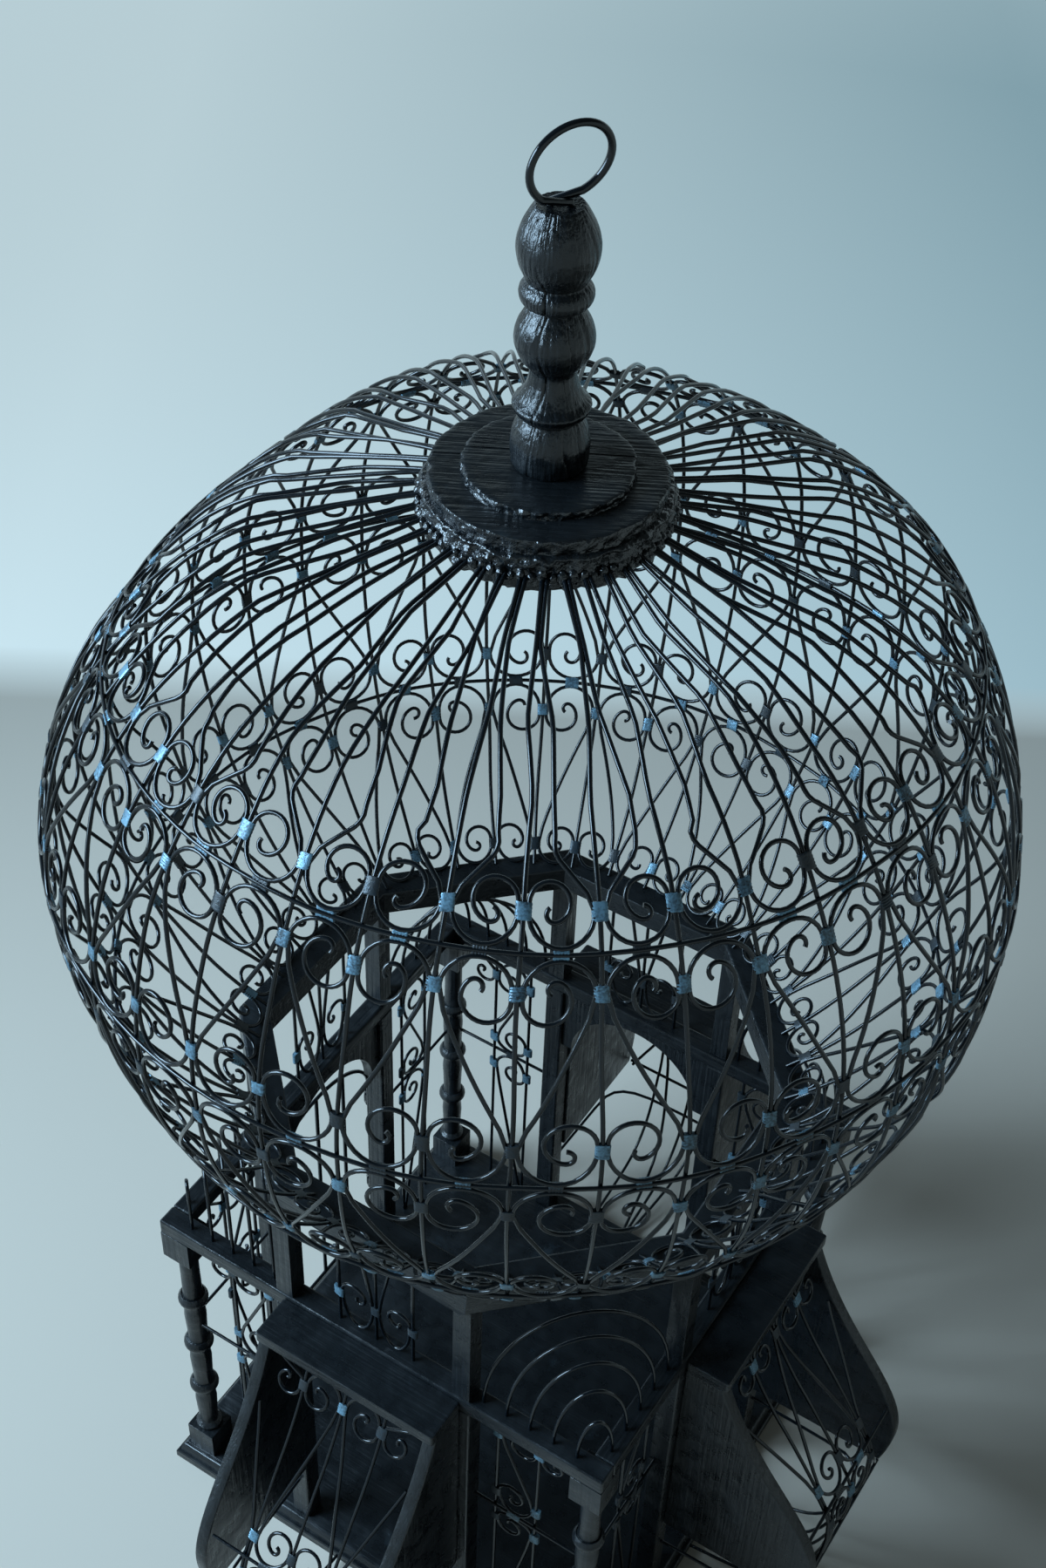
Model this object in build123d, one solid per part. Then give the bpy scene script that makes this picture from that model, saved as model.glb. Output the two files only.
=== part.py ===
from build123d import *
import math
import os

# Driving sizes, in millimetres and degrees.

# Wire: a three-sided section, measured by the circle round it
wire = 1.6
loop_wire = 2.6
clear = 0.25
clip_slant = 40.0
ring_slant = 50.0

# Base board and the square lower storey
board_side = 224.0
board_thick = 10.0
board_bevel = 4.0
wall_side = 214.0
timber = 9.0
rail_thick = 8.0
wall_height = 167.0
arch_board_thick = 5.0
arch_board_drop = 38.0
arch_radius = 33.0
arch_sides = 10

# Turned corner posts
block_side = 14.0
block_height = 16.0
shaft_radius = 4.6
bead_radius = 6.6
bead_height = 7.0
bead_count = 3
shaft_sides = 6

# Bellied balconies
balcony_shelf = 19.0
shelf_thick = 6.0
cheek_thick = 5.5
lip_inset = 2.0
belly_depth = 68.0
belly_drop = 100.0
turn_out = 0.62
turn_down = 0.55
cheek_drop = 122.0
foot_inset = 3.0
skirt_drop = 145.0
skirt_depth = 61.0
skirt_foot = 0.7
lip_lean = 0.35
foot_lean = 0.25
belly_bends = 4
balcony_turns = (0, 90, 180)
basket_side = 0.96
basket_front = 0.62
basket_round = 0.94

# Octagonal drum
drum_post = 8.0
drum_height = 62.0
ring_thick = 12.0
ring_width = 12.0
drum_half_side = 22.5

# Wire dome
scroll_pairs = 20
dome_turn = 3.0
dome_radius = 171.0
waist_rise = 134.0
crown_rise = 138.0
crown_power = 3.1
shoulder_radius = 100.0
upper_level = 85.0
middle_level = 8.0
lower_level = -71.0
upper_span = 12.0
middle_span = 15.0
lower_span = 12.5
kink_rise = 16.5
kink_out = 11.5
scroll_radius = 6.3
scroll_lift = 5.0
scroll_steps = 2
scroll_turn = 220.0
scroll_tighten = 0.25
ring_lengths = 10

# Filigree of the base
grille_step = 19.0
grille_drop = 12.0
grille_band_drop = 82.0
grille_band_span = 10.0
panel_band_share = 0.375
drum_step = 17.5
drum_row = 19.0

# Corner hoops
hoop_count = 5
hoop_step = 10.6
hoop_rise = 52.0
hoop_sides = 4

# Cap, finial and hanging ring
cap_sides = 20
cap_radius = 41.5
cap_thick = 13.0
cap_edge = 2.0
cap_top_radius = 39.5
cap_top_thick = 5.0
step_radius = 28.0
step_thick = 3.0
finial_sides = 12
finial_outline = ((0, 11.5), (3, 12.4), (9, 12.5), (17, 9.6), (19, 10.2), (22, 12.4), (24, 10.4), (33, 7.2),
                  (40, 11.2), (45, 12.4), (50, 11.2), (56, 7.9), (57, 9.9), (60, 11.4), (63, 9.9), (65, 9.2),
                  (69, 11.6), (74, 12.6), (80, 11.7), (88, 7.6))
loop_radius = 11.6
loop_sides = 14
loop_turn = 51.5
loop_spread = 50.0
loop_foot = 0.6

# Door
door_turn = 270.0
door_drop = 55.0
door_rise = 30.4
door_sill = 6.0
door_arch_sides = 6
pin_radius = 1.1
pin_play = 0.05
hinge_reach = 4.0
sleeve_radius = 2.8
sleeve_height = 5.0
lower_sleeve = 26.0
upper_sleeve = 92.0
sleeve_sides = 6
pull_radius = 5.0

# Levels and places that follow from the sizes
half_wall = wall_side / 2
half_board = board_side / 2
rail_bottom = board_thick + wall_height
rail_top = rail_bottom + rail_thick
rail_line = half_wall - timber / 2
ring_bottom = rail_top + drum_height
ring_top = ring_bottom + ring_thick
eighth = math.radians(drum_half_side)
post_line = rail_line * math.tan(eighth)
waist_level = ring_top + waist_rise
seat_radius = (rail_line - ring_width / 2) / math.cos(eighth) + wire
lower_rise = waist_rise / math.sqrt(1 - (seat_radius / dome_radius) ** 2)
rib_pitch = 180.0 / scroll_pairs
half_width = wire / 2 * math.sin(math.radians(60))
flat = wire / 4
beside = half_width * (1 + 1 / math.cos(math.radians(clip_slant))) + clear
above_ring = half_width * (1 + 1 / math.cos(math.radians(ring_slant))) + clear


def skin(rings):
    """Close a row of like rings of corner points into one solid with flat sides."""
    outlines = [rings[0], rings[-1]]
    for near, far in zip(rings, rings[1:]):
        for k in range(len(near)):
            n = (k + 1) % len(near)
            outlines.append([near[k], far[k], far[n], near[n]])
    return Solid(Shell([Face(Wire.make_polygon(outline, close=True)) for outline in outlines]))


def bent_wire(route, outward, first=None, last=None, across=wire):
    """Make one wire along a route, mitred at each bend, with one edge of its section turned outward."""
    points = [Vector(p) for p in route]
    runs = [(b - a).normalized() for a, b in zip(points, points[1:])]
    side = (outward - runs[0] * outward.dot(runs[0])).normalized()
    other = runs[0].cross(side)
    corners = []
    for turn in (0, 120, 240):
        angle = math.radians(turn)
        corners.append(points[0] + (side * math.cos(angle) + other * math.sin(angle)) * (across / 2))
    cuts = [first or runs[0]] + [a + b for a, b in zip(runs, runs[1:])] + [last or runs[-1]]
    rings = []
    for point, cut, run in zip(points, cuts, runs[:1] + runs):
        corners = [q + run * ((point - q).dot(cut) / run.dot(cut)) for q in corners]
        rings.append(corners)
    return skin(rings)


def around(solids, count, step):
    """Repeat solids round the upright axis."""
    return [s.rotate(Axis.Z, i * step) for i in range(count) for s in solids]


def turned(outline, sides, x=0.0, y=0.0, z=0.0):
    """Make a lathe-turned form from (height, radius) pairs, in flat facets."""
    rings = []
    for height, radius in outline:
        angles = [math.tau * i / sides for i in range(sides)]
        rings.append([Vector(x + radius * math.cos(a), y + radius * math.sin(a), z + height) for a in angles])
    return skin(rings)


def block(x0, x1, y0, y1, z0, z1):
    """Make a squared timber between two corners."""
    return Pos((x0 + x1) / 2, (y0 + y1) / 2, (z0 + z1) / 2) * Box(x1 - x0, y1 - y0, z1 - z0)


def save(name, solids):
    """Write one named piece, or one group of like pieces."""
    group = [s for item in solids for s in item.solids()]
    export_step(Compound(group), f"parts/{name}.step")


class Strip:
    """A line that wires follow: distance along it, and how far out and how high it is there."""

    def __init__(self, stations):
        self.stations = stations
        self.marks = [0.0]
        for (r0, z0), (r1, z1) in zip(stations, stations[1:]):
            self.marks.append(self.marks[-1] + math.hypot(r1 - r0, z1 - z0))
        self.length = self.marks[-1]

    def at(self, mark):
        """Give out, height and the outward normal at a distance along the line."""
        i = 0
        while i < len(self.marks) - 2 and mark > self.marks[i + 1]:
            i += 1
        (r0, z0), (r1, z1) = self.stations[i], self.stations[i + 1]
        span = self.marks[i + 1] - self.marks[i]
        t = (mark - self.marks[i]) / span
        return r0 + (r1 - r0) * t, z0 + (z1 - z0) * t, (z0 - z1) / span, (r1 - r0) / span

    def mark_of(self, height):
        """Give the distance along the line at which it passes a height."""
        for i, ((r0, z0), (r1, z1)) in enumerate(zip(self.stations, self.stations[1:])):
            if z0 >= height >= z1:
                return self.marks[i] + (z0 - height) / (z0 - z1) * (self.marks[i + 1] - self.marks[i])
        return self.length

    def between(self, start, end):
        """Give the distances of the line's own bends between two distances."""
        return [m for m in self.marks if start + 1 < m < end - 1]


class Round(Strip):
    """A strip turned about the upright axis: ribs stand at equal angles."""

    def place(self, rib, aside, mark, lift=0.0):
        """Give the point beside a rib at a distance down the strip, lifted off it."""
        out, height, normal_out, normal_up = self.at(mark)
        angle = math.radians(dome_turn + rib * rib_pitch) + aside / out
        out += lift * normal_out
        return Vector(out * math.sin(angle), -out * math.cos(angle), height + lift * normal_up)

    def normal(self, rib, mark):
        """Give the direction away from the strip at a rib."""
        _, _, normal_out, normal_up = self.at(mark)
        angle = math.radians(dome_turn + rib * rib_pitch)
        return Vector(normal_out * math.sin(angle), -normal_out * math.cos(angle), normal_up)


class Straight(Strip):
    """A strip carried along a front wall: ribs stand at equal steps from a start."""

    def __init__(self, stations, start, step):
        super().__init__(stations)
        self.start = start
        self.step = step

    def place(self, rib, aside, mark, lift=0.0):
        """Give the point beside a rib at a distance down the strip, lifted off it."""
        out, height, normal_out, normal_up = self.at(mark)
        along = self.start + rib * self.step + aside
        return Vector(along, -out - lift * normal_out, height + lift * normal_up)

    def normal(self, rib, mark):
        """Give the direction away from the strip."""
        _, _, normal_out, normal_up = self.at(mark)
        return Vector(0, -normal_out, normal_up)


def scroll(strip, rib, hand, row, up):
    """Give the curl that starts at a rib's clip and winds away from the rib, above or below the row."""
    points = []
    for i in range(1, scroll_steps + 1):
        angle = math.radians(scroll_turn * i / scroll_steps)
        radius = scroll_radius * (1 - scroll_tighten * i / scroll_steps)
        aside = hand * (beside + scroll_radius - radius * math.cos(angle))
        points.append(strip.place(rib, aside, row - up * (scroll_lift + radius * math.sin(angle))))
    return points


def half_band(strip, tied, free, row, ring, lift, up):
    """Give a wire's way from the tied rib's clip, under the ring wire, to the free rib's clip and scroll."""
    hand = 1 if free > tied else -1
    middle = strip.place((tied + free) / 2, 0, ring - up * above_ring, lift)
    clips = [strip.place(tied, hand * beside, row), middle, strip.place(free, -hand * beside, row)]
    return clips + scroll(strip, free, -hand, row, up)


def linked_wire(strip, tied, free, upper, lower, lift):
    """Make the wire that scrolls under one band, crosses to the next rib and scrolls over the next band."""
    (row_a, ring_a), (row_b, ring_b) = upper, lower
    top = half_band(strip, tied, free, row_a, ring_a, lift, -1)
    bottom = half_band(strip, free, tied, row_b, ring_b, lift, 1)
    return bent_wire(top[::-1] + bottom, strip.normal(free, row_a))


def foot_wire(strip, tied, free, row, ring, lift, end, last=None):
    """Make the wire that scrolls under the last band and crosses to the next rib's foot."""
    hand = 1 if free > tied else -1
    top = half_band(strip, tied, free, row, ring, lift, -1)
    foot = strip.place(free, -hand * beside, end)
    return bent_wire(top[::-1] + [foot], strip.normal(free, row), last=last)


def rib_wire(strip, rib, start, end, first=None, last=None):
    """Make one plain rib, which turns its flat side outward."""
    marks = [start] + strip.between(start, end) + [end]
    route = [strip.place(rib, 0, mark) for mark in marks]
    return bent_wire(route, strip.normal(rib, start) * -1, first, last)


# Base board with a bevelled upper edge
board = block(-half_board, half_board, -half_board, half_board, 0, board_thick)
board = chamfer(board.faces().sort_by(Axis.Z)[-1].edges(), board_bevel)


def corner_post():
    """Make one turned corner post with a square block at each end."""
    x = half_wall - block_side / 2
    outline = [(0, shaft_radius)]
    turned_length = wall_height - 2 * block_height
    for i in range(bead_count):
        middle = turned_length * (i + 1) / (bead_count + 1)
        outline += [(middle - bead_height / 2, shaft_radius), (middle, bead_radius)]
        outline += [(middle + bead_height / 2, shaft_radius)]
    outline += [(turned_length, shaft_radius)]
    lower = block_height + board_thick
    shaft = turned(outline, shaft_sides, x, x, lower)
    edge = half_wall - block_side
    foot = block(edge, half_wall, edge, half_wall, board_thick, lower)
    head = block(edge, half_wall, edge, half_wall, rail_bottom - block_height, rail_bottom)
    return foot + shaft + head


def arch_board():
    """Make the board with a round arch that stands between two wall posts under a rail."""
    half = post_line - timber / 2
    bottom = rail_bottom - arch_board_drop
    outline = [(-half, rail_bottom), (-half, bottom)]
    for i in range(arch_sides + 1):
        angle = math.pi * i / arch_sides
        outline.append((-arch_radius * math.cos(angle), bottom + arch_radius * math.sin(angle)))
    outline += [(half, bottom), (half, rail_bottom)]
    plank = extrude(Plane.XZ * make_face(Polyline(outline, close=True)), arch_board_thick)
    return plank.translate((0, arch_board_thick / 2 - rail_line, 0))


def belly_line():
    """Draw the bellied front edge of a balcony: distance out across, height up."""
    lip = (half_wall + balcony_shelf - lip_inset, rail_bottom)
    turn = (half_wall + belly_depth * turn_out, rail_top - belly_drop * turn_down)
    belly = (half_wall + belly_depth, rail_top - belly_drop)
    foot = (half_wall + belly_depth - foot_inset, rail_bottom - cheek_drop)
    return Spline([lip, turn, belly, foot], tangents=[(lip_lean, -1), (-foot_lean, -1)])


def cheek_board(middle):
    """Make one bellied cheek of a front balcony, standing at a distance from its middle."""
    front = belly_line()
    back = Polyline([front @ 1, (half_wall, rail_bottom - cheek_drop), (half_wall, rail_bottom), front @ 0])
    plate = extrude(Plane.XZ * make_face(front + back), cheek_thick)
    return plate.rotate(Axis.Z, -90).translate((middle + cheek_thick / 2, 0, 0))


post_edge = post_line - timber / 2
cheek_at = post_line - cheek_thick / 2

corner_posts = around([corner_post()], 4, 90)
inner_wall = half_wall - timber
long_rail = block(-half_wall, half_wall, -half_wall, -inner_wall, rail_bottom, rail_top)
short_rail = block(inner_wall, half_wall, -inner_wall, inner_wall, rail_bottom, rail_top)
wall_posts = []
drum_posts = []
for x in (-post_line, post_line):
    half = timber / 2
    wall_posts.append(block(x - half, x + half, -half_wall, -inner_wall, board_thick, rail_bottom))
    half = drum_post / 2
    drum_posts.append(block(x - half, x + half, -rail_line - half, half - rail_line, rail_top, ring_bottom))

# Octagonal ring beam of eight mitred lengths
outer_half = (rail_line + ring_width / 2) * math.tan(eighth)
inner_half = (rail_line - ring_width / 2) * math.tan(eighth)
outer_y = -rail_line - ring_width / 2
beam_outline = Polyline([(-outer_half, outer_y), (outer_half, outer_y), (inner_half, outer_y + ring_width),
                         (-inner_half, outer_y + ring_width)], close=True)
ring_beam = Pos(0, 0, ring_bottom) * extrude(make_face(beam_outline), ring_thick)

# Balcony shelves and cheeks
shelf_top = rail_bottom + shelf_thick
shelf = block(-post_line, post_line, -half_wall - balcony_shelf, -half_wall, rail_bottom, shelf_top)
cheeks = [cheek_board(-cheek_at), cheek_board(cheek_at)]


def dome_radius_at(level):
    """Give the dome's radius at a level above or below its waist."""
    if level > 0:
        return dome_radius * (1 - (level / crown_rise) ** 2) ** (1 / crown_power)
    return dome_radius * math.sqrt(1 - (level / lower_rise) ** 2)


def crown_level(radius):
    """Give the crown's level above the waist at a radius."""
    return crown_rise * math.sqrt(1 - (radius / dome_radius) ** crown_power)


# Meridian of the dome, from the cap's rim to the ring beam
rim_radius = cap_radius + clear
levels = [upper_level, (upper_level + middle_level) / 2, middle_level, lower_level]
stations = [(rim_radius, waist_level + crown_level(rim_radius))]
stations.append((shoulder_radius, waist_level + crown_level(shoulder_radius)))
stations += [(dome_radius_at(level), waist_level + level) for level in levels]
stations.append((seat_radius, ring_top))
dome = Round(stations)
bands = []
for level, span in ((upper_level, upper_span), (middle_level, middle_span), (lower_level, lower_span)):
    ring = dome.mark_of(waist_level + level)
    bands.append((ring - span, ring, ring + span))
ring_lift = 2 * flat + dome_radius * (1 - math.cos(math.radians(rib_pitch / 2))) + clear
down = Vector(0, 0, -1)


def radial(rib):
    """Give the level direction away from the axis at a rib."""
    angle = math.radians(dome_turn + rib * rib_pitch)
    return Vector(math.sin(angle), -math.cos(angle), 0)


def crown_wire(hand):
    """Make the wire that leaves the cap, kinks to a tied rib and scrolls over the first band."""
    row, ring, _ = bands[0]
    middle = 0.5 * hand
    route = [dome.place(middle, 0, 0), dome.place(middle, 0, dome.marks[1])]
    route.append(dome.place(0, hand * kink_out, row - kink_rise))
    route += half_band(dome, 0, hand, row, ring, ring_lift, 1)
    return bent_wire(route, dome.normal(middle, 0), first=radial(middle))


def ring_arcs(ring):
    """Make one ring wire, laid outside the ribs, in equal lengths."""
    per = 2 * scroll_pairs // ring_lengths
    arcs = []
    for i in range(ring_lengths):
        route = [dome.place(i * per + k + 0.5, 0, ring, ring_lift) for k in range(per + 1)]
        first = Vector(-route[0].Y, route[0].X, 0)
        last = Vector(-route[-1].Y, route[-1].X, 0)
        arcs.append(bent_wire(route, dome.normal(i * per + 0.5, ring), first, last))
    return arcs


pitch = 2 * rib_pitch
ribs = around([rib_wire(dome, 0, 0, dome.length, radial(0), down)], 2 * scroll_pairs, rib_pitch)
crown_wires = around([crown_wire(1), crown_wire(-1)], scroll_pairs, pitch)
upper, middle, lower = bands
upper_links = []
lower_links = []
foot_links = []
for hand in (1, -1):
    upper_links.append(linked_wire(dome, 0, hand, (upper[2], upper[1]), (middle[0], middle[1]), ring_lift))
    lower_links.append(linked_wire(dome, hand, 0, (middle[2], middle[1]), (lower[0], lower[1]), ring_lift))
    foot_links.append(foot_wire(dome, 0, hand, lower[2], lower[1], ring_lift, dome.length, down))


# Filigree of a balcony: it follows the cheeks' front edge, then rounds in under them to the base board
front = belly_line()
bends = [front @ (i / belly_bends) for i in range(belly_bends + 1)]
belly_stations = [(bend.X - wire, bend.Y) for bend in bends]
belly_stations.append((half_wall + skirt_depth, rail_top - skirt_drop))
belly_stations.append((half_wall + skirt_depth * skirt_foot, board_thick + wire))
belly_stations.append((half_board, (board_thick - board_bevel) / 2))
belly = Straight(belly_stations, 0, grille_step)
straight_lift = 2 * flat + clear
band = belly.mark_of(rail_bottom - grille_band_drop)
hem = belly.mark_of(rail_bottom - cheek_drop + wire)
waist = belly.marks[-3]
inward = Vector(0, 1, 0)
up_cut = Vector(0, 0, 1)
balcony_ribs = [rib_wire(belly, i, 0, belly.length, up_cut, inward) for i in (-1, 0, 1)]
rows = (grille_drop, 0), (band - grille_band_span, band)
balcony_scrolls = [linked_wire(belly, 0, hand, rows[0], rows[1], straight_lift) for hand in (1, -1)]


def cross_wire(strip, mark, x0, x1):
    """Make a straight wire laid across the ribs of a strip."""
    lifted = strip.place(0, 0, mark, straight_lift)
    return bent_wire([Vector(x0, lifted.Y, lifted.Z), Vector(x1, lifted.Y, lifted.Z)], strip.normal(0, mark))


def basket_hoop():
    """Make the lowest wire round a balcony's basket, with its ends on the wall posts."""
    lifted = belly.place(0, 0, waist, half_width + flat + clear)
    ends = [Vector(post_line, -half_wall, lifted.Z),
            Vector(post_line * basket_side, lifted.Y * basket_round, lifted.Z),
            Vector(post_line * basket_front, lifted.Y, lifted.Z)]
    route = [Vector(-p.X, p.Y, p.Z) for p in ends] + ends[::-1]
    return bent_wire(route, Vector(0, 0, 1), inward, inward)


inner_cheek = cheek_at - cheek_thick / 2
cross_wires = [cross_wire(belly, mark, -inner_cheek, inner_cheek) for mark in (band, hem)]
baskets = balcony_ribs + balcony_scrolls
hoops_round = cross_wires + [basket_hoop()]

# Filigree of the narrow wall panels beside each corner post
panel_line = half_wall - block_side / 2
panel_start = post_line + timber / 2 + grille_step / 2
panel = Straight([(panel_line, rail_bottom), (panel_line, board_thick)], panel_start, grille_step)
panel_band = block_height + (wall_height - 2 * block_height) * panel_band_share
panel_wires = [rib_wire(panel, i, 0, panel.length) for i in (0, 1)]
rows = (grille_drop, 0), (panel_band - grille_band_span, panel_band)
panel_wires.append(linked_wire(panel, 0, 1, rows[0], rows[1], straight_lift))
panel_wires.append(cross_wire(panel, panel_band, post_line + timber / 2, panel_line - shaft_radius))
panel_wires += [mirror(w, Plane.YZ) for w in panel_wires]

# Filigree of the drum's four broad sides
drum = Straight([(rail_line, ring_bottom), (rail_line, rail_top)], 0, drum_step)
drum_wires = [rib_wire(drum, i, 0, drum.length) for i in (-1, 0, 1)]
for hand in (1, -1):
    route = [drum.place(hand / 2, 0, 0)]
    route += half_band(drum, 0, hand, drum.length - drum_row, drum.length, 0, 1)
    drum_wires.append(bent_wire(route, drum.normal(0, 0), first=up_cut))


def corner_hoop(number):
    """Make one arched wire over a corner, with its feet on the two rails."""
    setback = block_side + hoop_step * number
    foot = Vector(half_wall - setback, -rail_line, rail_top)
    other = Vector(rail_line, setback - half_wall, rail_top)
    middle = (foot + other) * 0.5
    rise = hoop_rise * math.sqrt((number + 1) / hoop_count)
    route = []
    for i in range(hoop_sides + 1):
        angle = math.pi * i / hoop_sides
        route.append(middle + (foot - middle) * math.cos(angle) + Vector(0, 0, rise * math.sin(angle)))
    return bent_wire(route, Vector(1, -1, 0), up_cut, up_cut)


hoops = [corner_hoop(i) for i in range(hoop_count)]

# Cap and finial
cap_bottom = waist_level + crown_level(rim_radius) - cap_thick / 2
cap_outline = ((0, cap_radius - cap_edge / 2), (cap_edge, cap_radius), (cap_thick - cap_edge, cap_radius),
               (cap_thick, cap_top_radius))
cap_skirt = turned(cap_outline, cap_sides, z=cap_bottom)
cap_top = cap_bottom + cap_thick
disc_radius = cap_top_radius - cap_edge / 2
cap_disc = Pos(0, 0, cap_top) * extrude(RegularPolygon(disc_radius, cap_sides), cap_top_thick)
step_top = cap_top + cap_top_thick
step_disc = Pos(0, 0, step_top) * extrude(RegularPolygon(step_radius, cap_sides), step_thick)
finial_bottom = step_top + step_thick
finial = turned(finial_outline, finial_sides, z=finial_bottom)
finial_top = finial_bottom + finial_outline[-1][0]


def hanging_loop():
    """Make the hanging loop: one thick wire whose two ends cross and stand on the finial."""
    rise = loop_radius * math.cos(math.radians(loop_spread)) + 2 * loop_wire
    ends = loop_wire * loop_foot
    route = [Vector(ends, -ends, finial_top)]
    for i in range(loop_sides + 1):
        t = i / loop_sides
        angle = math.radians(180 + loop_spread + (360 - 2 * loop_spread) * t)
        x = loop_radius * math.sin(angle)
        z = finial_top + rise - loop_radius * math.cos(angle - math.pi)
        route.append(Vector(x, ends * (2 * t - 1), z))
    route.append(Vector(-ends, ends, finial_top))
    return bent_wire(route, Vector(0, -1, 0), up_cut, up_cut, loop_wire).rotate(Axis.Z, loop_turn)


# Door in the left wall, drawn at the front: an arched frame with bars, hung on a pin
door_y = -half_wall - flat - clear
door_half = post_edge + wire
sill = board_thick + door_sill
spring = rail_bottom - door_drop
pin_x = -post_line - 2 * pin_radius
pin_y = -half_wall - hinge_reach
arch_points = []
for i in range(door_arch_sides + 1):
    angle = math.pi * i / door_arch_sides
    arch_points.append((-door_half * math.cos(angle), spring + door_rise * math.sin(angle)))
frame_route = [(-door_half, sill)] + arch_points + [(door_half, sill)]
door_out = Vector(0, -1, 0)
door_frame = bent_wire([Vector(x, door_y, z) for x, z in frame_route], door_out)
reach = door_half - half_width - clear / 2
foot_level = sill + half_width
door_bar_list = [bent_wire([Vector(-reach, door_y, foot_level), Vector(reach, door_y, foot_level)], door_out)]
for x, z in arch_points[2:-2]:
    foot = Vector(x, door_y, foot_level + half_width + clear / 2)
    door_bar_list.append(bent_wire([foot, Vector(x, door_y, z - wire - clear)], door_out))


def sleeve(level):
    """Make one faceted sleeve round the hinge pin, and the hole through it."""
    hole = (pin_radius + pin_play) / math.cos(math.radians(180 / sleeve_sides))
    place = Pos(pin_x, pin_y, level)
    body = place * extrude(RegularPolygon(sleeve_radius, sleeve_sides), sleeve_height)
    return body, place * extrude(RegularPolygon(hole, sleeve_sides), sleeve_height)


wall_eyes = []
door_eyes = []
for height in (lower_sleeve, upper_sleeve):
    level = board_thick + height
    body, hole = sleeve(level)
    body += block(pin_x - pin_radius, pin_x + pin_radius, pin_y, -half_wall, level, level + sleeve_height)
    wall_eyes.append(body - hole)
    level += sleeve_height + clear
    body, hole = sleeve(level)
    body += block(pin_x, -door_half - half_width, pin_y, door_y + flat, level, level + sleeve_height)
    door_eyes.append(body - hole)
pin_bottom = board_thick + lower_sleeve - sleeve_height
pin_length = upper_sleeve - lower_sleeve + 4 * sleeve_height
pin = Pos(pin_x, pin_y, pin_bottom) * extrude(RegularPolygon(pin_radius, sleeve_sides), pin_length)
pull_y = door_y - wire / 2
pull_level = (sill + spring) / 2
pull_tip = pull_y - 2 * pull_radius
pull_route = [(pull_y, -pull_radius), (pull_tip, -pull_radius)]
pull_route += [(pull_tip, pull_radius), (pull_y, pull_radius)]
door_pull = bent_wire([Vector(door_half, y, pull_level + z) for y, z in pull_route], Vector(1, 0, 0))


def on_left(solids):
    """Carry what is drawn at the front to the left wall."""
    return [s.rotate(Axis.Z, door_turn) for s in solids]


def on_balconies(solids):
    """Repeat what is drawn at the front on the three walls that have balconies."""
    return [s.rotate(Axis.Z, t) for t in balcony_turns for s in solids]


os.makedirs("parts", exist_ok=True)
save("base_board", [board])
save("corner_posts", corner_posts)
save("long_rails", around([long_rail], 2, 180))
save("short_rails", around([short_rail], 2, 180))
save("wall_posts", around(wall_posts, 4, 90))
save("arch_boards", around([arch_board()], 4, 90))
save("drum_posts", around(drum_posts, 4, 90))
save("ring_beam", around([ring_beam], 8, 45))
save("balcony_shelves", on_balconies([shelf]))
save("balcony_cheeks", on_balconies(cheeks))
save("balcony_grilles", on_balconies(baskets))
save("balcony_cross_wires", on_balconies(hoops_round))
save("wall_grilles", around(panel_wires, 4, 90))
save("drum_grilles", around(drum_wires, 4, 90))
save("corner_hoops", around(hoops, 4, 90))
save("cap_skirt", [cap_skirt])
save("cap_disc", [cap_disc])
save("cap_step", [step_disc])
save("finial", [finial])
save("hanging_loop", [hanging_loop()])
save("door_frame", on_left([door_frame]))
save("door_bars", on_left(door_bar_list))
save("door_pull", on_left([door_pull]))
save("door_eyes", on_left(door_eyes))
save("wall_eyes", on_left(wall_eyes))
save("hinge_pin", on_left([pin]))
save("dome_ribs", ribs)
save("crown_wires", crown_wires)
save("upper_scroll_wires", around(upper_links, scroll_pairs, pitch))
save("lower_scroll_wires", around(lower_links, scroll_pairs, pitch))
save("foot_scroll_wires", around(foot_links, scroll_pairs, pitch))
for name, band in zip(("upper", "middle", "lower"), bands):
    save(f"{name}_ring_wire", ring_arcs(band[1]))
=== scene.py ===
"""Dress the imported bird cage: scrolled wire, wrapped clips, painted wood, floor, light and camera."""

import bisect
import functools
import logging
import math
import random
from collections.abc import Callable, Iterable, Sequence
from dataclasses import dataclass, field
from enum import Enum
from typing import Any, NamedTuple

import bmesh
import bpy
from mathutils import Matrix, Vector, noise


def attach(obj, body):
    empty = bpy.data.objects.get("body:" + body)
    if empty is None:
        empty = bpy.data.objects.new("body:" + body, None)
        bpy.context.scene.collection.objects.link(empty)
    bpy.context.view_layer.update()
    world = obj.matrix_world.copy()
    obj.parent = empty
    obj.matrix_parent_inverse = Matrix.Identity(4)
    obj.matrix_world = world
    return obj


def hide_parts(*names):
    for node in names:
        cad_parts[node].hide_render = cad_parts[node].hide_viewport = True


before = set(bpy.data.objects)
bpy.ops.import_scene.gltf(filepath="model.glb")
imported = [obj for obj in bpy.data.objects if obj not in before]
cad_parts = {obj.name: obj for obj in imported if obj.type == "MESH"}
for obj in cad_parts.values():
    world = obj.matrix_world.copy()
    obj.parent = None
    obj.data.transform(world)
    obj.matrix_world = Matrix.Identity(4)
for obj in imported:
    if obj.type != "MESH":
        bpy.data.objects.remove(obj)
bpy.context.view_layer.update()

logging.basicConfig(level=logging.INFO, format="%(name)s: %(message)s")
LOG = logging.getLogger("cage")

Pair = tuple[float, float]
Outline = tuple[Pair, ...]
Route = list[Vector]
Mesh = tuple[list[Vector], list[list[int]]]

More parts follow.
